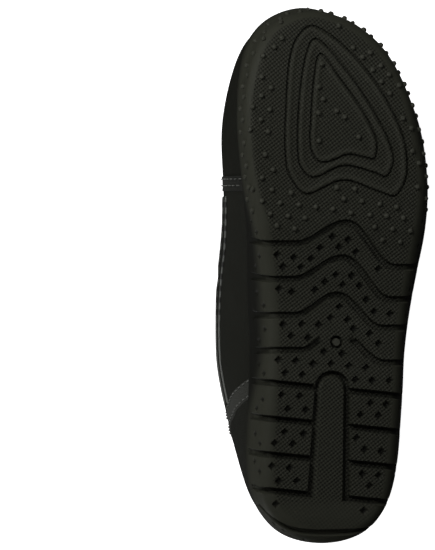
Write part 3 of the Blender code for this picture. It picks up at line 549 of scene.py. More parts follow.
def smooth_step(low, high, value):
    """Smooth change from 0 at a low value to 1 at a high one."""
    share = min(max((value - low) / (high - low), 0.0), 1.0)
    return share * share * (3 - 2 * share)


def last_where(holds, low, high):
    """Largest value for which a test holds, where it holds at the low end and fails at the high one."""
    for _ in range(40):
        middle = (low + high) / 2
        if holds(middle):
            low = middle
        else:
            high = middle
    return low


def smooth_span(start, start_slope, end, end_slope, share):
    """Point on a smooth span between two ends, with slopes for the whole span."""
    rest = 1 - share
    return (
        start * (1 + 2 * share) * rest * rest
        + start_slope * share * rest * rest
        + end * (3 - 2 * share) * share * share
        - end_slope * rest * share * share
    )


def circle(radius, count):
    """Points round a circle of the flat pattern."""
    angles = np.arange(count) / count * 2 * math.pi
    return radius * np.stack([np.cos(angles), np.sin(angles)], axis=1)


def flat_tree(points):
    """Search tree over points of the flat pattern."""
    tree = KDTree(len(points))
    for index, point in enumerate(points):
        tree.insert((point[0], point[1], 0.0), index)
    tree.balance()
    return tree


def ring_faces(lower, upper):
    """Faces between two closed rings of vertex numbers."""
    count = len(lower)
    return [[lower[i], lower[(i + 1) % count], upper[(i + 1) % count], upper[i]] for i in range(count)]


def column(rows, columns, name, where):
    """Read one column of a table at a place in its first column, with a smooth step between rows."""
    index = columns.index(name)
    if where <= rows[0][0]:
        return rows[0][index]
    for low, high in zip(rows, rows[1:]):
        if where <= high[0]:
            return low[index] + (high[index] - low[index]) * smooth_step(low[0], high[0], where)
    return rows[-1][index]


def spline_column(rows, columns, name, where):
    """Read one column of a table on a smooth curve through all its rows."""
    index = columns.index(name)
    keys = [row[0] for row in rows]
    values = [row[index] for row in rows]
    last = len(rows) - 1
    span = max(0, min(last - 1, sum(1 for key in keys if key <= where) - 1))
    slopes = []
    for end in (span, span + 1):
        before = max(end - 1, 0)
        after = min(end + 1, last)
        slopes.append((values[after] - values[before]) / (keys[after] - keys[before]))
    width = keys[span + 1] - keys[span]
    share = (where - keys[span]) / width
    return smooth_span(values[span], slopes[0] * width, values[span + 1], slopes[1] * width, share)


def curve_through(rows, closed, per_span=14):
    """Dense points on a smooth curve through the rows; each column is carried along."""
    rows = np.asarray(rows, float)
    count = len(rows)
    spans = count if closed else count - 1
    gaps = [np.linalg.norm((rows[(i + 1) % count] - rows[i])[:2]) for i in range(spans)]
    slopes = []
    for i in range(count):
        if closed:
            slopes.append((rows[(i + 1) % count] - rows[i - 1]) / (gaps[i] + gaps[i - 1]))
        else:
            before, after = max(i - 1, 0), min(i + 1, count - 1)
            slopes.append((rows[after] - rows[before]) / sum(gaps[before:after]))
    dense = []
    for i in range(spans):
        after = (i + 1) % count
        span = (rows[i], slopes[i] * gaps[i], rows[after], slopes[after] * gaps[i])
        for share in np.arange(per_span) / per_span:
            dense.append(smooth_span(*span, share))
    if not closed:
        dense.append(rows[-1])
    return np.array(dense)


def even_points(dense, count, closed):
    """Spread points evenly along a dense line, by the length of its first two columns."""
    line = np.vstack([dense, dense[:1]]) if closed else dense
    steps = np.linalg.norm(np.diff(line[:, :2], axis=0), axis=1)
    travelled = np.concatenate([[0.0], np.cumsum(steps)])
    wanted = np.linspace(0.0, travelled[-1], count + 1 if closed else count)
    points = np.stack([np.interp(wanted, travelled, line[:, i]) for i in range(line.shape[1])], axis=1)
    return points[:-1] if closed else points


def even_line(dense, step, closed):
    """Spread points along a dense line about one step apart."""
    line = np.vstack([dense, dense[:1]]) if closed else dense
    length = np.linalg.norm(np.diff(line[:, :2], axis=0), axis=1).sum()
    return even_points(dense, max(4, round(length / step)), closed)


def side_normals(points, closed):
    """Unit normals to the right of a line's direction of travel."""
    if closed:
        travel = np.roll(points[:, :2], -1, axis=0) - np.roll(points[:, :2], 1, axis=0)
    else:
        travel = np.gradient(points[:, :2], axis=0)
    normals = np.stack([travel[:, 1], -travel[:, 0]], axis=1)
    return normals / np.linalg.norm(normals, axis=1)[:, None]


def tread_height(along):
    """Height of the tread over the ground plane at a place along the sole."""
    share = along / sole_length
    arch = column(TREAD_LINE, TREAD_COLUMNS, "arch", share)
    spring = spline_column(TREAD_LINE, TREAD_COLUMNS, "spring", min(max(share, 0.0), 1.0))
    return arch * arch_lift + max(spring, 0.0) * toe_spring * (share > SPRING_START)


def floor_height(along):
    """Height of the floor inside the cup of the sole."""
    blend = smooth_step(*FLOOR_BLEND, along / sole_length)
    return tread_height(along) + heel_thickness + (forefoot_thickness - heel_thickness) * blend


def rounded(start, corner, end, share):
    """Place and slope at a share of a rounded corner."""
    first = start.lerp(corner, share)
    second = corner.lerp(end, share)
    return first.lerp(second, share), second - first


def wall_place(distance, flare, rise):
    """Run outward and up from the tread's edge at a flat distance, over a shoulder and up the wall."""
    corner = Vector((0.0, 0.0))
    bend = Vector((min(shoulder_width, flare * shoulder_share), shoulder_drop))
    rim = Vector((flare, rise - lip_round))
    wall = wall_span - shoulder_span
    if distance < edge_span:
        start = Vector((-edge_span, 0.0))
        share = (distance + edge_span) / (2 * edge_span)
        return rounded(start, corner, bend * (edge_span / shoulder_span), share)
    if distance < shoulder_span - corner_span:
        return bend * (distance / shoulder_span), bend
    if distance < shoulder_span + corner_span:
        start = bend * (1 - corner_span / shoulder_span)
        share = (distance - shoulder_span + corner_span) / (2 * corner_span)
        return rounded(start, bend, bend.lerp(rim, corner_span / wall), share)
    return bend.lerp(rim, (distance - shoulder_span) / wall), rim - bend


class SoleEdge:
    """The tread's edge and the side wall that rises from it."""

    def __init__(self):
        rows = np.array(SOLE_EDGE) * (sole_length, ball_width, wall_flare, wall_rise)
        fine = even_points(curve_through(rows, True), edge_points * 4, True)
        self.rim = fine[:, :2]
        self.flare = fine[:, 2]
        self.rise = fine[:, 3]
        outward = -side_normals(self.rim, True)
        middle = self.rim.mean(axis=0)
        if np.sum(outward * (self.rim - middle)) < 0:
            outward = -outward
        self.outward = outward
        self.tread = self.rim - outward * self.flare[:, None]
        self.tree = flat_tree(self.tread)

    def locate(self, point):
        """Nearest place on the tread's edge: spot, outward direction, signed distance, flare, rise."""
        _, index, _ = self.tree.find((point[0], point[1], 0.0))
        best = None
        for start in (index - 1, index):
            first, second = start % len(self.tread), (start + 1) % len(self.tread)
            along = self.tread[second] - self.tread[first]
            share = float(np.dot(np.asarray(point[:2]) - self.tread[first], along) / np.dot(along, along))
            share = min(max(share, 0.0), 1.0)
            spot = self.tread[first] + along * share
            away = float(np.linalg.norm(np.asarray(point[:2]) - spot))
            if best is None or away < best[0]:
                best = (away, first, second, share, spot)
        away, first, second, share, spot = best
        outward = self.outward[first] * (1 - share) + self.outward[second] * share
        side = float(np.dot(np.asarray(point[:2]) - spot, outward))
        flare = self.flare[first] * (1 - share) + self.flare[second] * share
        rise = self.rise[first] * (1 - share) + self.rise[second] * share
        return spot, outward, math.copysign(away, side), flare, rise

    def floor_inset(self, along, flare, rise):
        """Distance from the rim to the inner wall at the cup's floor, so that the wall stays solid."""
        level = (floor_height(along) - tread_height(along)) / rise
        rest = 1 - 2 * WALL_BOW_UP
        share = (math.sqrt(WALL_BOW_UP * WALL_BOW_UP + rest * level) - WALL_BOW_UP) / rest
        return flare * (1 - 2 * (1 - share) * share * WALL_BOW_OUT - share * share) + wall_thickness

    def lay(self, point, depth):
        """Put a point of the flat pattern on the sole's surface, sunk into it by a depth."""
        spot, outward, distance, flare, rise = self.locate(point)
        if distance <= -edge_span:
            base = Vector((point[0], -point[1], tread_height(point[0])))
            return base + Vector((0, 0, depth))
        place, slope = wall_place(min(distance, wall_span), flare, rise)
        on_edge = spot + outward * place.x
        base = Vector((on_edge[0], -on_edge[1], tread_height(on_edge[0]) + place.y))
        inward = Vector((-outward[0] * slope.y, outward[1] * slope.y, slope.x)).normalized()
        return base + inward * depth

    def reach(self, start, direction, distance):
        """Walk from a point inside the tread until the given distance past the tread's edge."""
        return last_where(lambda walk: self.locate(start + direction * walk)[2] < distance, 0.0, ball_width)

    def floor_ring(self, gap, count):
        """Points round the cup's floor, inward from its inner wall by a gap."""
        insets = [self.floor_inset(*place) + gap for place in zip(self.rim[:, 0], self.flare, self.rise)]
        return even_points(self.rim - self.outward * np.array(insets)[:, None], count, True)


def strip(centre, half, trim, end_trim):
    """Closed outline of a groove that follows a line, narrowed and shortened by its trims."""
    normals = side_normals(centre, False)
    line = centre.copy()
    for end, neighbour in ((0, 1), (-1, -2)):
        back = line[neighbour] - line[end]
        line[end] = line[end] + back / np.linalg.norm(back) * end_trim
    right = line + normals * (half - trim)
    left = line - normals * (half - trim)
    return np.vstack([right, left[::-1]])


def shortened(line, length):
    """Line without the points that lie within a length of either of its ends."""
    far = [min(np.linalg.norm(point - line[0]), np.linalg.norm(point - line[-1])) for point in line]
    return line[np.array(far) >= length]


def groove(centre, half, depth, draft):
    """A groove with sloped walls along a line, running out gently at its ends."""
    bottom = shortened(centre, groove_runout)
    if len(bottom) < 3:
        bottom = centre
    loops = ((strip(centre, half, 0.0, 0.0), 0.0), (strip(bottom, half, draft, draft), depth))
    return {"loops": loops, "island": None, "small": False, "shade": groove_shade}


def ring_groove(line, half, depth, draft):
    """A groove with sloped walls along a closed line, round an island."""
    normals = side_normals(line, True)
    loops = []
    for offset, sunk in ((half, 0.0), (half - draft, depth), (draft - half, depth), (-half, 0.0)):
        loops.append((line + normals * offset, sunk))
    middle = line.mean(axis=0)
    first, last = (np.linalg.norm(loops[end][0] - middle, axis=1).mean() for end in (0, -1))
    if first < last:
        loops.reverse()
    return {"loops": tuple(loops), "island": loops[2][0], "small": False, "shade": sipe_shade}


def wave_line(row, from_side, to_side):
    """Centre of one wavy groove between two places across the sole."""
    wave = dict(zip(WAVE_COLUMNS, row))
    across = np.linspace(from_side, to_side, max(6, round(abs(to_side - from_side) / line_step)))
    crest = wave["crest_across"] * ball_width
    points = []
    for place in across:
        side = "medial" if place > crest else "lateral"
        run = wave[side + "_run"] * ball_width
        turn = min(abs(place - crest) / run, 1.0) * math.pi
        fall = wave[side + "_fall"] * sole_length * (1 - math.cos(turn)) / 2
        points.append((wave["crest_along"] * sole_length - groove_width / 2 - fall, place))
    return np.array(points)


def to_side_wall(edge, line):
    """Lengthen a line at the ends that lie near the tread's edge, out over the side wall."""
    points = list(line)
    for at_end in (False, True):
        tip = points[-1] if at_end else points[0]
        direction = np.array((0.0, math.copysign(1.0, tip[1])))
        if abs(tip[1]) < ball_width * 0.2:
            continue
        to_end = edge.reach(tip, direction, wall_span * groove_reach)
        extra = [tip + direction * stop for stop in np.arange(line_step, to_end + line_step / 2, line_step)]
        points = points + extra if at_end else extra[::-1] + points
    return np.array(points)


def wave_grooves(edge):
    """Every wavy groove; the last is split on either side of the drain."""
    grooves = []
    medial = WAVE_MEDIAL_END * ball_width
    lateral = -WAVE_LATERAL_END * ball_width
    split = drain_radius + drain_groove + groove_width * 0.6
    drain = DRAIN_ACROSS * ball_width
    for index, row in enumerate(WAVES):
        sides = [(medial, lateral)]
        if index == SPLIT_WAVE:
            sides = [(medial, drain + split), (drain - split, lateral)]
        for start, end in sides:
            line = to_side_wall(edge, wave_line(row, start, end))
            grooves.append(groove(line, groove_width / 2, groove_depth, groove_draft))
    return grooves


def channel_side(along, side, top_width, end_width, trim):
    """Across place of one side of the heel channel, or of the tongue that stands in it."""
    share = (CHANNEL_TOP_ALONG * sole_length - along) / (bar_pitch * (BAR_COUNT - 1))
    middle = (CHANNEL_TOP_ACROSS + (CHANNEL_END_ACROSS - CHANNEL_TOP_ACROSS) * share) * ball_width
    return middle + side * ((top_width + (end_width - top_width) * share) / 2 - trim)


def channel_arc(radius, steps):
    """Rounded top of the channel or of its tongue, from the lateral to the medial side."""
    top = CHANNEL_TOP_ALONG * sole_length
    centre = channel_side(top, 0, 0.0, 0.0, 0.0)
    arc = []
    for step in range(1, steps):
        angle = math.pi * step / steps
        arc.append(np.array((top + radius * math.sin(angle), centre - radius * math.cos(angle))))
    return arc


def channel_outline(edge, trim, tongue_trim):
    """Closed line round the groove that runs up and over the heel's tongue, with its bars."""
    half = groove_width / 2 - trim
    bars = [FIRST_BAR_ALONG * sole_length - bar_pitch * index for index in range(BAR_COUNT)]
    top = CHANNEL_TOP_ALONG * sole_length
    sides = []
    for side in (1, -1):
        points = []
        for index, bar in enumerate(bars):
            inner = channel_side(bar, side, channel_top_width, channel_end_width, trim)
            start = np.array((bar + BAR_SLOPE * inner, inner))
            direction = np.array((BAR_SLOPE * side, side))
            direction = direction / np.linalg.norm(direction)
            length = edge.reach(start, direction, wall_span * groove_reach)
            if trim:
                length -= bar_runout
            upper = np.array((half, 0.0))
            stops = np.linspace(0.0, length, max(4, round(length / line_step)))
            points += [start + direction * stop + upper for stop in stops]
            points += [start + direction * stop - upper for stop in reversed(stops)]
        points.pop()
        count = round((top - bars[-1]) / line_step)
        for stop in range(count):
            share = stop / count
            along = bars[-1] + (top - bars[-1]) * share
            across = channel_side(along, side, tongue_top_width, tongue_end_width, -tongue_trim)
            drop = (half - BAR_SLOPE * across) * (1 - share)
            points.append(np.array((along - drop, across)))
        sides.append(points)
    tongue = channel_arc(tongue_top_width / 2 + tongue_trim, tongue_arc_steps)
    arc = channel_arc(channel_top_width / 2 - trim, channel_arc_steps)
    return np.array(sides[0] + tongue[::-1] + sides[1][::-1] + arc)


def heart_line(name):
    """Closed line of one of the three nested rounded triangles."""
    first = 2 * HEART_NAMES.index(name)
    rows = [(row[first] * sole_length, row[first + 1] * ball_width) for row in HEARTS]
    return even_line(curve_through(rows, True), line_step, True)


class Pattern:
    """Grooves, nubs and pits of the tread, with the box round each one for a quick search."""

    def __init__(self):
        self.features = []
        self.low = np.empty((0, 2))
        self.high = np.empty((0, 2))

    def add(self, feature):
        outline = feature["loops"][0][0]
        self.features.append(feature)
        self.low = np.vstack([self.low, outline.min(axis=0)])
        self.high = np.vstack([self.high, outline.max(axis=0)])

    def depth_at(self, point, clearance):
        """Depth of the surface at a point, or None on or near a wall of the pattern."""
        depth = 0.0
        close = np.all((point > self.low - clearance) & (point < self.high + clearance), axis=1)
        for index in np.nonzero(close)[0]:
            feature = self.features[index]
            top, bottom = feature["loops"][0][0], feature["loops"][1]
            if any(near(loop, point, clearance) for loop, _ in feature["loops"]):
                return None
            if inside(top, point):
                if feature["island"] is None or not inside(feature["island"], point):
                    if feature["small"] or not inside(bottom[0], point):
                        return None
                    depth = bottom[1]
        return depth

    def add_small(self, middle, outline, rings):
        """Add a nub or a pit, moved a little where it would touch a groove, or not at all."""
        for reach in small_moves:
            for turn in range(8 if reach else 1):
                angle = turn * math.pi / 4
                moved = middle + reach * np.array((math.cos(angle), math.sin(angle)))
                loop = moved + outline
                if all(self.depth_at(point, small_clearance) == 0.0 for point in loop):
                    loops = tuple((moved + outline * size, depth) for size, depth in rings)
                    self.add({"loops": loops, "island": None, "small": True, "shade": pit_shade})
                    return


def photo_place(pixel, mirrored):
    """Place along and across the tread of a pixel of the photograph."""
    across = nub_mirror - pixel[0] if mirrored else pixel[0]
    return np.array((
        (photo_heel_end - pixel[1]) * photo_scale,
        (photo_centre_line - across) * photo_scale / math.cos(photo_tilt),
    ))


def add_nubs_and_pits(edge, pattern):
    """Raised nubs on the forefoot and its side wall, and sunk diamonds from waist to heel."""
    nub = circle(nub_radius, nub_steps)
    corners = np.array(PIT_CORNERS)
    for pixel in PITS:
        pattern.add_small(photo_place(pixel, False), corners * pit_half, PIT_RINGS)
    for pixel in NUBS:
        pattern.add_small(photo_place(pixel, True), nub, NUB_RINGS)
    around = edge.tread + edge.outward * shoulder_span
    length = np.linalg.norm(np.diff(np.vstack([around, around[:1]]), axis=0), axis=1).sum()
    for index, spot in enumerate(even_points(around, round(length / wall_nub_pitch), True)):
        place, outward = edge.locate(spot)[:2]
        middle = place + outward * wall_nub_distances[index % 2]
        if place[0] > WALL_NUB_BACK * sole_length:
            pattern.add_small(middle, nub, NUB_RINGS)
        else:
            pattern.add_small(middle, corners * wall_pit_half, WALL_PIT_RINGS)


def tread_pattern(edge):
    """All the grooves, nubs and pits, none of them touching another."""
    pattern = Pattern()
    for feature in wave_grooves(edge):
        pattern.add(feature)
    top = channel_outline(edge, 0.0, 0.0)
    bottom = channel_outline(edge, groove_draft, tongue_slope)
    loops = ((top, 0.0), (bottom, channel_depth))
    pattern.add({"loops": loops, "island": None, "small": False, "shade": channel_shade})
    rows = [(along * sole_length, across * ball_width) for along, across in HEEL_GROOVE]
    line = even_line(curve_through(rows, False), line_step, False)
    ends = []
    for tip, neighbour in ((line[0], line[1]), (line[-1], line[-2])):
        direction = (tip - neighbour) / np.linalg.norm(tip - neighbour)
        to_end = edge.reach(tip, direction, wall_span * groove_reach)
        ends.append([tip + direction * stop for stop in np.arange(line_step, to_end, line_step)])
    line = np.vstack([ends[0][::-1], line, ends[1]])
    pattern.add(groove(line, groove_width / 2, groove_depth, groove_draft))
    for name in HEART_NAMES:
        pattern.add(ring_groove(heart_line(name), sipe_width / 2, sipe_depth, sipe_draft))
    middle = np.array((DRAIN_ALONG * sole_length, DRAIN_ACROSS * ball_width))
    ring = middle + circle(drain_radius + drain_groove / 2, drain_steps)
    pattern.add(ring_groove(ring, drain_groove / 2, groove_depth, sipe_draft))
    add_nubs_and_pits(edge, pattern)
    return pattern


def inside(loop, point):
    """Whether a point lies inside a closed line."""
    after = np.roll(loop, -1, axis=0)
    spans = (loop[:, 1] > point[1]) != (after[:, 1] > point[1])
    rise = np.where(after[:, 1] == loop[:, 1], 1.0, after[:, 1] - loop[:, 1])
    crossing = loop[:, 0] + (point[1] - loop[:, 1]) / rise * (after[:, 0] - loop[:, 0])
    return bool(np.count_nonzero(spans & (crossing > point[0])) % 2)


def near(loop, point, clearance):
    """Whether a point lies within a clearance of a closed line."""
    along = np.roll(loop, -1, axis=0) - loop
    length = np.maximum((along * along).sum(axis=1), 1e-12)
    share = np.clip(((point - loop) * along).sum(axis=1) / length, 0.0, 1.0)
    away = np.linalg.norm(loop + along * share[:, None] - point, axis=1)
    return bool(away.min() < clearance)


def collar_height(along):
    """Height of the collar's edge at a place along the sole."""
    share = min(max((along / sole_length - COLLAR_HEEL) * sole_length / collar_length, 0.0), 1.0)
    ends = heel_height + (instep_height - heel_height) * share
    return ends + (collar_side_height - ends) * spline_column(COLLAR, COLLAR_COLUMNS, "dip", share)


def ridge_point(foot):
    """Point on the ridge for a section whose foot stands at a share of the sole's length."""
    along = spline_column(RIDGE, RIDGE_COLUMNS, "along", foot) * sole_length
    level = spline_column(RIDGE, RIDGE_COLUMNS, "height", foot)
    return Vector((along, -RIDGE_ACROSS * ball_width, toe_height + (instep_height - toe_height) * level))


def crowded(share, amount):
    """An even share moved so that the steps are closer together at both ends."""
    return share - amount * math.sin(2 * math.pi * share) / (2 * math.pi)


class FootRing:
    """The upper's foot inside the rim of the sole, as two lines from toe to heel."""

    def __init__(self, edge, inset):
        line = edge.rim - edge.outward * inset
        toe = int(np.argmax(edge.rim[:, 0]))
        self.lines = {1: line[:toe + 1][::-1], -1: np.vstack([line[toe:], line[:1]])}

    def point(self, share, side):
        """Place on one side at a share of the way from the toe to the heel."""
        line = self.lines[side]
        travelled = np.concatenate([[0.0], np.cumsum(np.linalg.norm(np.diff(line, axis=0), axis=1))])
        wanted = share * travelled[-1]
        return np.array([np.interp(wanted, travelled, line[:, axis]) for axis in (0, 1)])

    def foot(self, share):
        """Middle place along the sole of both sides, as a share of its length."""
        return (self.point(share, 1)[0] + self.point(share, -1)[0]) / 2 / sole_length

    def front(self):
        """Share at which the ridge meets the collar's edge."""
        def below_collar(share):
            ridge = ridge_point(self.foot(share))
            return ridge.z < collar_height(ridge.x)

        return last_where(below_collar, 0.2, 0.7)

    def shares(self):
        """Sections from toe to heel, closer together at the collar's front and at the heel."""
        front = self.front()
        places = [front * crowded(index / vamp_sections, VAMP_CROWDING) for index in range(vamp_sections)]
        for index in range(collar_sections + 1):
            places.append(front + (1 - front) * crowded(index / collar_sections, COLLAR_CROWDING))
        return places


def section_curve(edge, base, foot, side):
    """Lip point and the four controls of a section's curve from the lip to the ridge."""
    spot, outward, _, _, rise = edge.locate(base)
    lip = Vector((base[0], -base[1], tread_height(spot[0]) + rise))
    top = ridge_point(foot)
    away = Vector((outward[0], -outward[1], 0))
    pull = spline_column(SIDES, SIDE_COLUMNS, "medial" if side > 0 else "lateral", foot) * ball_width
    climb = top.z - lip.z
    first = lip + Vector((0, 0, climb * spline_column(SIDES, SIDE_COLUMNS, "upward", foot))) + away * pull
    before = ridge_point(max(foot - ridge_step, 0.0))
    after = ridge_point(min(foot + ridge_step, ridge_end))
    slope = (after.z - before.z) / (after.x - before.x)
    level = Vector((lip.x - top.x, lip.y - top.y, 0))
    tangent = level + Vector((0, 0, level.x * slope))
    crown = spline_column(SIDES, SIDE_COLUMNS, "medial_crown" if side > 0 else "lateral_crown", foot)
    return lip, first, top + tangent * crown, top


def curve_point(controls, share):
    """Point on a curve with four controls."""
    rest = 1 - share
    start, first, second, end = controls
    return (
        start * rest ** 3
        + first * 3 * rest * rest * share
        + second * 3 * rest * share * share
        + end * share ** 3
    )


def section_side(edge, base, foot, side, closed):
    """Points up one side of a section, from the floor of the cup to the ridge or the collar."""
    controls = section_curve(edge, base, foot, side)

    def below_collar(share):
        point = curve_point(controls, share)
        return point.z < collar_height(point.x)

    end = 1.0 if closed else last_where(below_collar, 0.0, 1.0)
    spot, outward, _, flare, rise = edge.locate(base)
    low_base = base - outward * (edge.floor_inset(spot[0], flare, rise) - lip_width)
    floor_point = Vector((low_base[0], -low_base[1], floor_height(low_base[0]) + fit_gap))
    rows = [curve_point(controls, end * step / meridian_steps) for step in range(1, meridian_steps + 1)]
    return [floor_point, controls[0]] + rows


def toe_side(point):
    """Share of the broad smooth bevel on the medial side of the toe."""
    medial = smooth_step(*TOE_BEVEL_ACROSS, point[1] / ball_width)
    return medial * smooth_step(*TOE_BEVEL_ALONG, point[0] / sole_length)


def relief(hearts, point, distance):
    """Small rise of the surface from beads, wall lines and toe bevel, and the bead's share of it."""
    ripple = (distance - wall_line_start) / wall_line_pitch
    rise = 0.0
    if 0 < ripple < wall_line_count:
        rise = wall_line_height * (1 - math.cos(2 * math.pi * ripple)) / 2
    bevel = smooth_step(-toe_bevel_reach, toe_bevel_reach, distance)
    rise -= toe_bevel_drop * toe_side(point) * bevel * (1 - smooth_step(*toe_bevel_fade, distance))
    if distance > 0:
        return rise, 0.0
    bead = 0.0
    for line, tree in hearts:
        away = tree.find((point[0], point[1], 0.0))[2]
        if away < bead_offset * 3 and inside(line, point):
            bead = max(bead, math.exp(-((away - bead_offset) / bead_reach) ** 2))
    return rise + bead_height * bead, bead


def loose_points(edge, pattern):
    """Points between the lines of the pattern, close together where the surface curves."""
    hearts = heart_line("outer")
    low = hearts.min(axis=0) - heart_box_margin
    high = hearts.max(axis=0) + heart_box_margin
    chosen = []
    for step in (fill_step, heart_step):
        columns = int(ball_width / step) + 2
        for i in range(int(sole_length / step) + 1):
            for j in range(-columns, columns):
                point = np.array((i * step, (j + 0.5 * (i % 2)) * step))
                if abs(point[1]) > ball_width * fill_across:
                    continue
                close = np.all(point > low) and np.all(point < high)
                if close:
                    close = inside(hearts, point) or near(hearts, point, heart_margin)
                if close == (step == heart_step) and edge.locate(point)[2] < -fill_margin:
                    chosen.append(point)
    rows = [edge_span * share for share in EDGE_ROWS]
    rows += [shoulder_span + corner_span * share for share in CORNER_ROWS]
    rows += wall_rows
    rows += [wall_line_start + wall_line_pitch * index / 2 for index in range(2 * wall_line_count)]
    for distance in rows:
        chosen += list(even_points(edge.tread + edge.outward * distance, edge_points, True))
    kept = [(point, pattern.depth_at(point, loose_clearance)) for point in chosen]
    return [(point, depth) for point, depth in kept if depth is not None]


def triangulate(points, loops):
    """Triangles between closed lines and loose points; returns places, faces and first sources."""
    edges = []
    for start, count in loops:
        edges += [(start + i, start + (i + 1) % count) for i in range(count)]
    flat = [Vector((point[0], point[1])) for point in points]
    places, _, faces, sources, _, _ = delaunay_2d_cdt(flat, edges, [], 1, 1e-7)
    return places, faces, [source[0] if source else None for source in sources]


def add_piece(name, vertices, faces, materials, angle=35, parts=None, marks=None, flat=None):
    """Make one closed, smooth-shaded piece, lay it with the shoe and let it ride on the root."""
    mesh = bpy.data.meshes.new(name)
    mesh.from_pydata([tuple(vertex) for vertex in vertices], [], faces)
    for material in materials:
        mesh.materials.append(material)
    if parts is not None:
        mesh.polygons.foreach_set("material_index", parts)
    for mark, values in (marks or {}).items():
        mesh.attributes.new(mark, "FLOAT", "POINT").data.foreach_set("value", values)
    if flat is not None:
        layer = mesh.uv_layers.new(name="flat")
        for loop in mesh.loops:
            layer.data[loop.index].uv = flat[loop.vertex_index]
    work = bmesh.new()
    work.from_mesh(mesh)
    bmesh.ops.triangulate(work, faces=work.faces)
    bmesh.ops.recalc_face_normals(work, faces=work.faces)
    if work.calc_volume(signed=True) < 0:
        bmesh.ops.reverse_faces(work, faces=work.faces)
    work.to_mesh(mesh)
    work.free()
    mesh.transform(LYING_POSE)
    for vertex in mesh.vertices:
        vertex.co.z = max(vertex.co.z, 0.0)
    mesh.shade_smooth()
    mesh.set_sharp_from_angle(angle=math.radians(angle))
    item = bpy.data.objects.new(name, mesh)
    bpy.context.scene.collection.objects.link(item)
    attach(item, "root")
    return item


def floor_patch(ring, lift, step):
    """Triangles inside a ring that follow the floor of the cup, with the ring's points first."""
    points = [np.array(point) for point in ring]
    rows = int(sole_length / step) + 1
    columns = int(ball_width / step) + 2
    for i in range(rows):
        for j in range(-columns, columns):
            point = np.array((i * step, j * step))
            if inside(ring, point) and not near(ring, point, step * 0.5):
                points.append(point)
    places, faces, sources = triangulate(points, [(0, len(ring))])
    vertices = [None] * len(points)
    for place, source in zip(places, sources):
        vertices[source] = Vector((place[0], -place[1], floor_height(place[0]) + lift))
    return vertices, [[sources[corner] for corner in face] for face in faces]


def knurl_share(point, distance):
    """Where the fine knurl stands: on the tread, but not on its shoulder or the toe's medial side."""
    medial = smooth_step(-0.1, 0.1, point[1] / ball_width)
    waist = 1 - smooth_step(*KNURL_WAIST_END, point[0] / sole_length)
    margin = knurl_toe_margin * toe_side(point)
    margin += medial * (knurl_waist_margin * waist - knurl_medial_overlap)
    heel = heel_knurl + (1 - heel_knurl) * smooth_step(*heel_knurl_fade, point[0])
    return heel * (1 - smooth_step(-margin - knurl_fade, -margin, distance))


def lip_shadow(point, distance):
    """Darkness of the side wall under the lip, which starts lowest at the waist."""
    share = point[0] / sole_length
    shift = smooth_step(*SHADE_FOREFOOT, share) + 1 - smooth_step(*SHADE_HEEL, share)
    start = rim_shade_start + rim_shade_shift * shift
    return rim_shade * smooth_step(start, start + rim_shade_width, distance)


def make_sole(edge, rubber):
    """The cup sole: grooved tread, shoulder, side wall, lip, inner wall and floor as one body."""
    pattern = tread_pattern(edge)
    points = list(even_points(edge.tread + edge.outward * wall_span, edge_points, True))
    depths = [0.0] * edge_points
    shades = [0.0] * edge_points
    loops = [(0, edge_points)]
    for feature in pattern.features:
        for loop, depth in feature["loops"]:
            loops.append((len(points), len(loop)))
            points += list(loop)
            depths += [depth] * len(loop)
            shades += [feature["shade"] if depth > 0 else 0.0] * len(loop)
    loose = loose_points(edge, pattern)
    raised_tops = [depth < 0 for depth in depths] + [False] * len(loose)
    points += [point for point, _ in loose]
    depths += [depth for _, depth in loose]
    shades += [0.0] * len(loose)
    places, faces, sources = triangulate(points, loops)
    hearts = []
    for name in HEART_NAMES:
        line = heart_line(name)
        hearts.append((line, flat_tree(even_line(line, bead_step, True))))
    drain = (DRAIN_ALONG * sole_length, DRAIN_ACROSS * ball_width)
    vertices = []
    marks = {"knurl": [], "wear_and_highlight": [], "shade": []}
    ring = {}
    for index, (place, source) in enumerate(zip(places, sources)):
        distance = edge.locate(place)[2]
        rise, bead = relief(hearts, np.array(place), distance)
        own = source is not None
        depth = depths[source] if own else 0.0
        up_wall = max(0.0, distance - wall_groove_start)
        depth = min(depth, max(wall_groove_depth, channel_depth - up_wall * wall_groove_slope))
        vertices.append(edge.lay(place, depth - rise))
        # Nub tops and the drain's disc lose the knurl and get the paler colour: partly rubbed wear, partly
        # a painted highlight
        on_drain = math.dist(place, drain) < drain_radius + drain_groove * 0.1
        top = 1.0 if on_drain or (own and raised_tops[source]) else 0.0
        knurl = knurl_share(place, distance) * (1 - bead_smoothing * bead)
        marks["knurl"].append(knurl * (1 - top))
        marks["wear_and_highlight"].append(max(bead_wear_and_highlight * bead, top))
        marks["shade"].append(max(shades[source] if own else 0.0, lip_shadow(place, distance)))
        if own and source < edge_points:
            ring[source] = index
    flat = [tuple(place) for place in places]
    faces = [list(face) for face in faces]
    rings = [[ring[index] for index in range(edge_points)]]
    corners = [edge.locate(places[index]) for index in rings[0]]
    for inset, lower in LIP_RINGS:
        rings.append([])
        for spot, outward, _, flare, rise in corners:
            place = spot + outward * (flare - inset)
            rings[-1].append(len(vertices))
            height = tread_height((spot + outward * flare)[0]) + rise - lip_round * lower
            vertices.append(Vector((place[0], -place[1], height)))
    walls = []
    for spot, outward, _, flare, rise in corners:
        walls.append(spot + outward * (flare - edge.floor_inset(spot[0], flare, rise)))
    patch, patch_faces = floor_patch(np.array(walls), 0.0, floor_step)
    start = len(vertices)
    rings.append([start + index for index in range(edge_points)])
    vertices += patch
    for lower, upper in zip(rings, rings[1:]):
        faces += ring_faces(lower, upper)
    faces += [[start + corner for corner in face] for face in patch_faces]
    extra = len(vertices) - len(flat)
    flat += [(vertex.x, vertex.y) for vertex in vertices[-extra:]]
    for values in marks.values():
        values += [0.0] * extra
    sole = add_piece("tread_sole", vertices, faces, [rubber], 40, None, marks, flat)
    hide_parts("outsole")


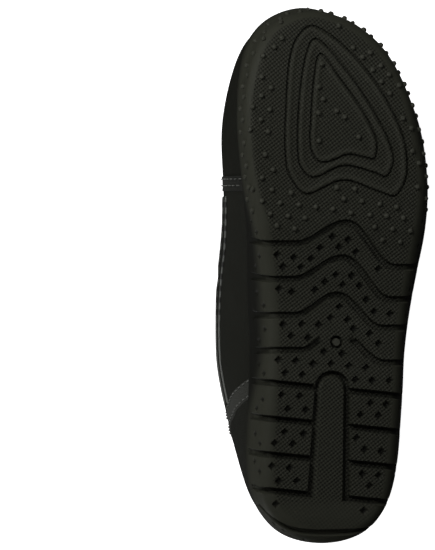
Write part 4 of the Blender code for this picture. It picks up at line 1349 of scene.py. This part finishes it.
def make_footbed(edge, foam):
    """A footbed with rounded edges and a shallow hollow under the heel and the ball."""
    count = edge_points // 2
    inset = upper_wall + fit_gap * 4
    lift = fit_gap * 2
    vertices, low_faces = floor_patch(edge.floor_ring(inset, count), lift, footbed_low_step)
    faces = [list(reversed(face)) for face in low_faces]
    before = range(count)
    for more, height in FOOTBED_EDGE:
        ring = range(len(vertices), len(vertices) + count)
        for place in edge.floor_ring(inset + more, count):
            level = floor_height(place[0]) + lift + insole_thickness * height
            vertices.append(Vector((place[0], -place[1], level)))
        faces += ring_faces(before, ring)
        before = ring
    top_ring = edge.floor_ring(inset + footbed_top_inset, count)
    top, top_faces = floor_patch(top_ring, lift + insole_thickness, footbed_top_step)
    start = len(vertices)
    for vertex in top:
        away = abs(edge.locate((vertex.x, -vertex.y))[2]) / footbed_hollow_edge
        for along, half, depth in FOOTBED_HOLLOWS:
            hollow = math.exp(-(((vertex.x / sole_length - along) / half) ** 2))
            vertex.z -= depth * hollow * smooth_step(0.1, 0.9, away)
    vertices += top
    faces += [[start + corner for corner in face] for face in top_faces]
    faces += ring_faces(before, range(start, start + count))
    footbed = add_piece("foam_footbed", vertices, faces, [foam], 60)
    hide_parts("insole")


class Skin:
    """Outer surface of the upper as two grids, medial and lateral: section from the toe, step up."""

    def __init__(self, edge):
        ring = FootRing(edge, lip_width + fit_gap * 2)
        shares = ring.shares()
        self.points = {}
        for side in (1, -1):
            grid = []
            for index, share in enumerate(shares):
                closed = index <= vamp_sections
                own_side = 1 if index in (0, len(shares) - 1) else side
                base = ring.point(share, own_side)
                grid.append(section_side(edge, base, ring.foot(share), own_side, closed))
            self.points[side] = np.array([[tuple(point) for point in row] for row in grid])
        ends = (0, -1)
        for end in ends:
            self.points[-1][end] = self.points[1][end]
        self.points[-1][:vamp_sections + 1, -1] = self.points[1][:vamp_sections + 1, -1]
        self.normals = {}
        for side in (1, -1):
            grid = self.points[side]
            onward = np.gradient(grid, axis=0)
            upward = np.gradient(grid, axis=1)
            normals = np.cross(onward, upward) * side
            length = np.linalg.norm(normals, axis=2)[..., None]
            self.normals[side] = normals / np.maximum(length, 1e-12)
        for end in ends:
            shared = self.normals[1][end] + self.normals[-1][end]
            shared /= np.maximum(np.linalg.norm(shared, axis=1), 1e-9)[:, None]
            self.normals[1][end] = self.normals[-1][end] = shared
        ridge = self.normals[1][:vamp_sections + 1, -1] + self.normals[-1][:vamp_sections + 1, -1]
        ridge /= np.maximum(np.linalg.norm(ridge, axis=1), 1e-9)[:, None]
        for side in (1, -1):
            self.normals[side][:vamp_sections + 1, -1] = ridge
        if self.normals[1][vamp_sections // 2, meridian_steps, 2] < 0:
            for side in (1, -1):
                self.normals[side] = -self.normals[side]
        for side in (1, -1):
            self.points[side] = self.points[side] - self.normals[side] * self.creases(side)[..., None]

    def creases(self, side):
        """Depth of the listed creases over one side's grid."""
        grid = self.points[side]
        levels = np.clip((np.arange(grid.shape[1]) - 1) / meridian_steps, 0.0, 1.0)
        place = np.stack([grid[..., 0], np.broadcast_to(levels * instep_height, grid.shape[:2])], axis=2)
        depth = np.zeros(grid.shape[:2])
        for row in CREASES:
            crease = dict(zip(CREASE_COLUMNS, row))
            if crease["side"] != side:
                continue
            start = np.array((crease["from_along"] * sole_length, crease["from_level"] * instep_height))
            along = np.array((crease["to_along"] * sole_length, crease["to_level"] * instep_height)) - start
            share = np.clip(((place - start) @ along) / (along @ along), 0.0, 1.0)
            away = np.linalg.norm(place - start - share[..., None] * along, axis=2) / crease["width"]
            taper = np.clip(np.minimum(share, 1 - share) * 3 + 0.25, 0.0, 1.0)
            depth += crease["depth"] * taper * np.exp(-away ** 2)
        return depth * np.clip((1 - levels) * 8, 0.0, 1.0) * np.clip(levels * 8, 0.0, 1.0)

    def place(self, side, along, level, lift):
        """Point over the surface at a place along the sole and a level from the lip to the top."""
        step = 1 + min(max(level, 0.0), 1.0) * meridian_steps
        low = min(int(step), meridian_steps)
        share = step - low
        points = self.points[side][:, low] * (1 - share) + self.points[side][:, low + 1] * share
        normals = self.normals[side][:, low] * (1 - share) + self.normals[side][:, low + 1] * share
        order = np.arange(len(points))[::-1]
        index = float(np.interp(along, points[::-1, 0], order))
        first = min(int(index), len(points) - 2)
        rest = index - first
        point = points[first] * (1 - rest) + points[first + 1] * rest
        normal = normals[first] * (1 - rest) + normals[first + 1] * rest
        return Vector(point) + Vector(normal).normalized() * lift

    def level(self, side, along, height):
        """Level at which the surface reaches a height at a place along the sole."""
        return last_where(lambda level: self.place(side, along, level, 0.0).z < height, 0.0, 1.0)


def make_upper(skin, cloth, lining):
    """The hollow stretch upper with its lining; returns the two edges and normals of its collar."""
    last = skin.points[1].shape[0] - 1
    top = meridian_steps + 1
    outer = []
    normals = []
    grid = {}
    for index in range(last + 1):
        for side in (1, -1):
            for step in range(top + 1):
                ends = index in (0, last)
                ridge = step == top and index <= vamp_sections
                if side < 0 and (ends or ridge):
                    grid[index, side, step] = grid[index, 1, step]
                else:
                    grid[index, side, step] = len(outer)
                    outer.append(Vector(skin.points[side][index, step]))
                    normals.append(Vector(skin.normals[side][index, step]))
    faces = []
    for side in (1, -1):
        for index in range(last):
            for step in range(top):
                quad = [
                    grid[index, side, step],
                    grid[index + 1, side, step],
                    grid[index + 1, side, step + 1],
                    grid[index, side, step + 1],
                ]
                faces.append(quad if side > 0 else quad[::-1])
    foot = [grid[index, 1, 0] for index in range(last + 1)]
    foot += [grid[index, -1, 0] for index in range(last - 1, 0, -1)]
    collar = [grid[index, 1, top] for index in range(vamp_sections, last + 1)]
    collar += [grid[index, -1, top] for index in range(last - 1, vamp_sections, -1)]
    feet = set(foot)
    inner = []
    for index, (vertex, normal) in enumerate(zip(outer, normals)):
        if index in feet:
            normal = Vector((normal.x, normal.y, 0)).normalized()
        inner.append(vertex - normal * upper_wall)
    count = len(outer)
    solid = [list(face) for face in faces]
    solid += [[corner + count for corner in reversed(face)] for face in faces]
    parts = [0] * len(faces) + [1] * len(faces)
    for loop in (foot, collar):
        solid += ring_faces(loop, [corner + count for corner in loop])
        parts += [0] * len(loop)
    both = outer + inner
    # Share of the quarter, behind the vamp band, that gets the painted light
    quarter = [1 - smooth_step(quarter_start, vamp_band_back, vertex.x) for vertex in both]
    marks = {"quarter": quarter}
    upper = add_piece("stretch_upper", both, solid, [cloth, lining], 50, parts, marks)
    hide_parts("upper")
    return [(outer[index], inner[index], normals[index]) for index in collar]


def make_binding(rim, cloth):
    """The bound roll on the collar's edge, slightly flat, with a fine rib round it."""
    centres = []
    for index, (outer, inner, normal) in enumerate(rim):
        travel = rim[(index + 1) % len(rim)][0] - rim[index - 1][0]
        onward = travel.cross(normal).normalized()
        centres.append((outer + inner) / 2 + onward * (fit_gap + binding_radius))
    vertices = []
    faces = []
    for index, centre in enumerate(centres):
        after = (index + 1) % len(centres)
        travel = (centres[after] - centres[index - 1]).normalized()
        across = travel.cross(Vector((0, 0, 1))).normalized()
        lift = across.cross(travel)
        radius = binding_radius * (1 + roll_rib * math.sin(index * 2 * math.pi / 3))
        for step in range(roll_sides):
            angle = 2 * math.pi * step / roll_sides
            around = across * roll_flatness * math.cos(angle) + lift * math.sin(angle)
            vertices.append(centre + around * radius)
        rings = [range(place * roll_sides, (place + 1) * roll_sides) for place in (index, after)]
        faces += ring_faces(*rings)
    roll = add_piece("collar_roll", vertices, faces, [cloth], 80)
    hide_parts("collar_binding")


def overlay(rows):
    """Closed thin sheet from rows of (top point, underside point) pairs."""
    height = len(rows)
    width = len(rows[0])
    vertices = [pair[level] for level in (0, 1) for row in rows for pair in row]
    half = height * width
    faces = []
    for i in range(height - 1):
        for j in range(width - 1):
            quad = [i * width + j, i * width + j + 1, (i + 1) * width + j + 1, (i + 1) * width + j]
            faces.append(quad)
            faces.append([corner + half for corner in reversed(quad)])
    border = list(range(width)) + [i * width + width - 1 for i in range(1, height)]
    border += [(height - 1) * width + j for j in range(width - 2, -1, -1)]
    border += [i * width for i in range(height - 2, 0, -1)]
    return vertices, faces + ring_faces(border, [corner + half for corner in border])


def band_profile(share):
    """Lift of a knit band over the cloth across its width: rolled edges and a flat middle."""
    from_edge = min(share, 1 - share)
    if from_edge < band_rim_share:
        return band_rim
    return band_top + band_edge_roll * math.exp(-((from_edge - band_roll_middle) / band_roll_half) ** 2)


def vamp_band_place(level, share):
    """Place along the sole of the band over the vamp, the same at every level."""
    return vamp_band_front - (vamp_band_front - vamp_band_back) * share


def heel_band_place(level, share):
    """Place along the sole of the slanted band behind the arch."""
    return heel_band_low + (heel_band_high - heel_band_low) * level + heel_band_width * (share - 0.5)


def make_band(skin, name, places, place_along, knit):
    """A knit band over the cloth through places given as (side, level)."""
    rows = []
    for side, level in places:
        row = []
        for share in np.linspace(0.0, 1.0, band_columns):
            along = place_along(level, share)
            lifts = (band_profile(share), band_underside)
            row.append([skin.place(side, along, level, lift) for lift in lifts])
        rows.append(row)
    vertices, faces = overlay(rows)
    add_piece(name, vertices, faces, [knit], 60)


def make_bands(skin, vamp_knit, heel_knit):
    """The band over the vamp, from lip to lip, and one slanted band on each side of the heel."""
    levels = np.linspace(0.0, 1.0, band_rows)
    over = [(1, level) for level in levels] + [(-1, level) for level in levels[-2::-1]]
    make_band(skin, "vamp_band", over, vamp_band_place, vamp_knit)
    for side, name in ((1, "heel_band_medial"), (-1, "heel_band_lateral")):
        make_band(skin, name, [(side, level) for level in levels], heel_band_place, heel_knit)


def tube(points, radii, sides):
    """Vertices and faces of a round tube along points, closed at both ends."""
    vertices = []
    last = len(points) - 1
    for index, centre in enumerate(points):
        travel = (points[min(index + 1, last)] - points[max(index - 1, 0)]).normalized()
        across = travel.cross(TUBE_SIDE).normalized()
        lift = across.cross(travel)
        for step in range(sides):
            angle = 2 * math.pi * step / sides
            vertices.append(centre + (across * math.cos(angle) + lift * math.sin(angle)) * radii[index])
    rings = [range(index * sides, (index + 1) * sides) for index in range(last + 1)]
    faces = [face for lower, upper in zip(rings, rings[1:]) for face in ring_faces(lower, upper)]
    return vertices, faces + [list(rings[0])[::-1], list(rings[-1])]


def make_piping(skin, name, column_name, light):
    """A thin light piping sewn along the medial topline, dashed where its stitches go under."""
    start, end = PIPINGS[0][0], PIPINGS[-1][0]
    points = []
    lit = []
    radii = []
    for index in range(piping_steps + 1):
        along = start + (end - start) * index / piping_steps
        height = spline_column(PIPINGS, PIPING_COLUMNS, column_name, along)
        points.append(skin.place(1, along, skin.level(1, along, height), piping_lift))
        dash = smooth_step(-0.1, 0.3, math.sin(along * 2 * math.pi / piping_dash_pitch))
        lit += [1 - smooth_step(*piping_dash_start, along) * dash] * piping_sides
        from_end = min(index, piping_steps - index)
        radii.append(piping_radius * min(1.0, 0.5 + from_end / piping_taper))
    vertices, faces = tube(points, radii, piping_sides)
    add_piece(name, vertices, faces, [light], 60, None, {"light": lit})


def stitch(skin, side, start, end):
    """One raised stitch between two places (along, level) of the surface."""
    points = []
    for share, lift, _ in STITCH_PROFILE:
        along = start[0] + (end[0] - start[0]) * share
        level = start[1] + (end[1] - start[1]) * share
        points.append(skin.place(side, along, level, lift))
    return tube(points, [stitch_radius * size for _, _, size in STITCH_PROFILE], stitch_sides)


def make_stitches(skin, thread):
    """Pale stitches that hold the bands: two rows over the vamp and two on each heel band."""
    runs = [(vamp_band_place, vamp_stitch_levels, vamp_stitch_level, *row) for row in VAMP_STITCHES]
    runs += [(heel_band_place, heel_stitch_levels, heel_stitch_level, *row) for row in HEEL_STITCHES]
    vertices = []
    faces = []
    for side in (1, -1):
        for place_along, levels, length, share, shift in runs:
            for level in np.arange(*levels) + shift:
                ends = [(place_along(place, share), place) for place in (level, level + length)]
                more, more_faces = stitch(skin, side, *ends)
                faces += [[corner + len(vertices) for corner in face] for face in more_faces]
                vertices += more
    add_piece("band_stitches", vertices, faces, [thread], 60)


# Sockets of a colour mix node: share, first colour, second colour and result
MIX_SHARE, MIX_FIRST, MIX_SECOND, MIX_RESULT = 0, 6, 7, 2


class Look:
    """Node tree of one material, with short calls that add and join nodes."""

    def __init__(self, name, colour, roughness, **finish):
        self.material = bpy.data.materials.new(name)
        self.material.use_nodes = True
        self.tree = self.material.node_tree
        self.surface = self.tree.nodes["Principled BSDF"]
        self.colour = colour
        self.surface.inputs["Base Color"].default_value = (*colour, 1)
        self.surface.inputs["Roughness"].default_value = roughness
        for socket, value in finish.items():
            self.surface.inputs[socket.replace("_", " ")].default_value = value

    def node(self, kind, **settings):
        made = self.tree.nodes.new(kind)
        for name, value in settings.items():
            setattr(made, name, value)
        return made

    def math(self, operation, *values):
        made = self.node("ShaderNodeMath", operation=operation)
        for socket, value in zip(made.inputs, values):
            if isinstance(value, (int, float)):
                socket.default_value = value
            else:
                self.tree.links.new(value, socket)
        return made.outputs[0]

    def noise(self, scale, detail, roughness=0.6):
        place = self.node("ShaderNodeTexCoord")
        made = self.node("ShaderNodeTexNoise")
        self.tree.links.new(place.outputs["Object"], made.inputs["Vector"])
        made.inputs["Scale"].default_value = scale
        made.inputs["Detail"].default_value = detail
        made.inputs["Roughness"].default_value = roughness
        return made.outputs["Fac"]

    def mark(self, name):
        return self.node("ShaderNodeAttribute", attribute_name=name).outputs["Fac"]

    def flat(self):
        """Both places of the flat pattern, in metres."""
        layer = self.node("ShaderNodeUVMap", uv_map="flat")
        apart = self.node("ShaderNodeSeparateXYZ")
        self.tree.links.new(layer.outputs["UV"], apart.inputs[0])
        return apart.outputs["X"], apart.outputs["Y"]

    def mix_colour(self, share, second):
        """Blend towards a second colour; each call works on the result of the one before."""
        mix = self.node("ShaderNodeMix", data_type="RGBA")
        socket = self.surface.inputs["Base Color"]
        if socket.is_linked:
            self.tree.links.new(socket.links[0].from_socket, mix.inputs[MIX_FIRST])
        else:
            mix.inputs[MIX_FIRST].default_value = (*self.colour, 1)
        mix.inputs[MIX_SECOND].default_value = (*second, 1)
        self.tree.links.new(share, mix.inputs[MIX_SHARE])
        self.tree.links.new(mix.outputs[MIX_RESULT], socket)

    def roughness(self, share, low, high):
        spread = self.node("ShaderNodeMapRange")
        self.tree.links.new(share, spread.inputs["Value"])
        spread.inputs["To Min"].default_value = low
        spread.inputs["To Max"].default_value = high
        self.tree.links.new(spread.outputs["Result"], self.surface.inputs["Roughness"])

    def bump(self, height, strength, distance):
        made = self.node("ShaderNodeBump")
        made.inputs["Strength"].default_value = strength
        made.inputs["Distance"].default_value = distance
        self.tree.links.new(height, made.inputs["Height"])
        socket = self.surface.inputs["Normal"]
        if socket.is_linked:
            self.tree.links.new(socket.links[0].from_socket, made.inputs["Normal"])
        self.tree.links.new(made.outputs["Normal"], socket)


def rubber_look():
    """Matt black rubber: diagonal knurl on the tread, painted shade in its valleys, grooves and under the
    lip, paler where it rubs, with a painted highlight on nub tops and beads.
    """
    look = Look("black_rubber", rubber_colour, 0.55, Specular_IOR_Level=0.12)
    along, across = look.flat()
    rows = []
    for turn in (knurl_turn, knurl_turn + math.pi / 2):
        steps = look.math("MULTIPLY", along, 2 * math.pi / knurl_pitch * math.cos(turn))
        steps = look.math("MULTIPLY_ADD", across, 2 * math.pi / knurl_pitch * math.sin(turn), steps)
        rows.append(look.math("SINE", steps))
    points = look.math("MULTIPLY", look.math("ADD", *rows), 0.5)
    knurl = look.mark("knurl")
    look.bump(look.math("MULTIPLY", points, knurl), 1.0, knurl_height)
    look.bump(look.noise(grain_scale, 3), 0.3, grain_height)
    cloud = look.noise(cloud_scale, 5, 0.65)
    look.mix_colour(look.math("MULTIPLY", cloud, cloud_share), cloud_colour)
    # Paler colour on nub tops, the drain's disc and beads: partly rubbed wear, partly a painted highlight
    look.mix_colour(look.math("MULTIPLY", look.mark("wear_and_highlight"), rubbed_and_highlight_share), rubbed_and_highlight_colour)
    dust = look.math("GREATER_THAN", look.noise(dust_scale, 2), dust_level)
    look.mix_colour(look.math("MULTIPLY", dust, dust_share), dust_colour)
    # Painted shade: the knurl's valleys are darkened in colour
    valley_shade = look.math("MULTIPLY", look.math("SUBTRACT", valley_shade_level, points), knurl)
    valley_shade = look.math("MULTIPLY", valley_shade, valley_shade_share)
    valley_shade.node.use_clamp = True
    look.mix_colour(valley_shade, valley_shade_colour)
    look.mix_colour(look.math("MULTIPLY", look.mark("shade"), shade_share), shade_colour)
    look.roughness(cloud, 0.56, 0.70)
    return look.material


def cloth_look(name, colour, second, thread_pitch, roughness, sheen):
    """Fine knitted cloth: rows of small loops as bump, clouds of colour and a little sheen."""
    look = Look(name, colour, roughness, Sheen_Weight=sheen, Sheen_Roughness=0.5, Specular_IOR_Level=0.10)
    place = look.node("ShaderNodeTexCoord")
    apart = look.node("ShaderNodeSeparateXYZ")
    look.tree.links.new(place.outputs["Object"], apart.inputs[0])
    turns = 2 * math.pi / thread_pitch
    lines = [look.math("SINE", look.math("MULTIPLY", apart.outputs[axis], turns)) for axis in ("X", "Z")]
    weave = look.math("MULTIPLY", lines[0], lines[1])
    look.bump(weave, 0.35, thread_pitch * weave_height)
    look.bump(look.noise(fuzz_scale, 4), 0.2, fuzz_height)
    look.mix_colour(look.math("MULTIPLY", look.noise(cloth_cloud_scale, 5), cloth_cloud_share), second)
    if name == "stretch_cloth":
        # Painted light: the quarter gets a lighter copy of the cloth's colour, where it is lit
        look.mix_colour(look.mark("quarter"), lit_quarter_colour)
    return look.material


def piping_look():
    """Pale grey twisted piping with dark stretches where it is sewn down."""
    look = Look("pale_piping", sewn_piping_colour, 0.6, Sheen_Weight=0.15)
    look.mix_colour(look.mark("light"), piping_colour)
    look.bump(look.noise(twist_scale, 3), 0.4, twist_height)
    return look.material


def set_stage():
    """White glowing floor that lights nothing, and an even white studio round it."""
    mesh = bpy.data.meshes.new("floor")
    corners = [(x * floor_reach, y * floor_reach, 0) for x, y in ((-1, -1), (1, -1), (1, 1), (-1, 1))]
    mesh.from_pydata(corners, [], [(0, 1, 2, 3)])
    floor = bpy.data.objects.new("floor", mesh)
    bpy.context.scene.collection.objects.link(floor)
    white = Look("white_floor", (0.93, 0.93, 0.93), 0.9)
    white.surface.inputs["Emission Color"].default_value = (1, 1, 1, 1)
    white.surface.inputs["Emission Strength"].default_value = floor_glow
    mesh.materials.append(white.material)
    floor.visible_diffuse = False
    floor.visible_glossy = False
    world = bpy.data.worlds.new("studio")
    world.use_nodes = True
    background = world.node_tree.nodes["Background"]
    background.inputs["Color"].default_value = (1, 1, 1, 1)
    background.inputs["Strength"].default_value = world_strength
    bpy.context.scene.world = world
    bpy.context.scene.view_settings.view_transform = "Standard"


def shoe_direction(medial_tilt, toe_tilt):
    """Direction in the frame, from the shoe, tilted in degrees from straight off the tread."""
    medial, toe = math.radians(medial_tilt), math.radians(toe_tilt)
    shoe = Vector((math.sin(toe), -math.sin(medial), -math.cos(medial) * math.cos(toe)))
    return (LYING_POSE.to_3x3() @ shoe).normalized()


def add_light(name, direction, distance, size, power):
    """A square soft light that looks at the shoe."""
    data = bpy.data.lights.new(name, "AREA")
    data.shape = "SQUARE"
    data.size = size
    data.energy = power
    light = bpy.data.objects.new(name, data)
    light.location = light_aim + direction * distance
    light.rotation_euler = direction.to_track_quat("Z", "Y").to_euler()
    bpy.context.scene.collection.objects.link(light)


def set_camera():
    """A long lens at the photograph's angle, rolled so that the toe is at the top."""
    right = Vector((0, math.cos(photo_tilt), -math.sin(photo_tilt)))
    up = Vector((1, 0, 0))
    toward = Vector((0, -math.sin(photo_tilt), -math.cos(photo_tilt)))
    half_height = photo_height / 2
    aim = up * (photo_heel_end - half_height) * photo_scale
    aim += right * (photo_width / 2 - photo_centre_line) * photo_scale
    data = bpy.data.cameras.new("camera")
    data.lens = camera_lens
    data.sensor_width = camera_sensor
    data.sensor_fit = "AUTO"
    distance = photo_height * photo_scale * data.lens / data.sensor_width
    axes = Matrix((right, up, toward)).transposed().to_4x4()
    camera = bpy.data.objects.new("camera", data)
    camera.matrix_world = LYING_POSE @ Matrix.Translation(aim + toward * distance) @ axes
    bpy.context.scene.collection.objects.link(camera)
    bpy.context.scene.camera = camera


def main():
    edge = SoleEdge()
    cloths = {name: cloth_look(name, *row) for name, row in CLOTHS.items()}
    make_sole(edge, rubber_look())
    make_footbed(edge, cloths["footbed_cloth"])
    skin = Skin(edge)
    rim = make_upper(skin, cloths["stretch_cloth"], cloths["lining_cloth"])
    make_binding(rim, cloths["binding_cloth"])
    make_bands(skin, cloths["knit_band"], cloths["heel_knit"])
    light = piping_look()
    make_piping(skin, "topline_piping_outer", "outer_height", light)
    make_piping(skin, "topline_piping_inner", "inner_height", light)
    make_stitches(skin, Look("pale_thread", thread_colour, 0.6).material)
    set_stage()
    for name, (medial_tilt, toe_tilt, distance, size, power) in SHOE_LIGHTS.items():
        add_light(name, shoe_direction(medial_tilt, toe_tilt), distance, size, power)
    for name, (direction, distance, size, power) in ROOM_LIGHTS.items():
        add_light(name, Vector(direction).normalized(), distance, size, power)
    set_camera()
    bpy.context.view_layer.update()


main()
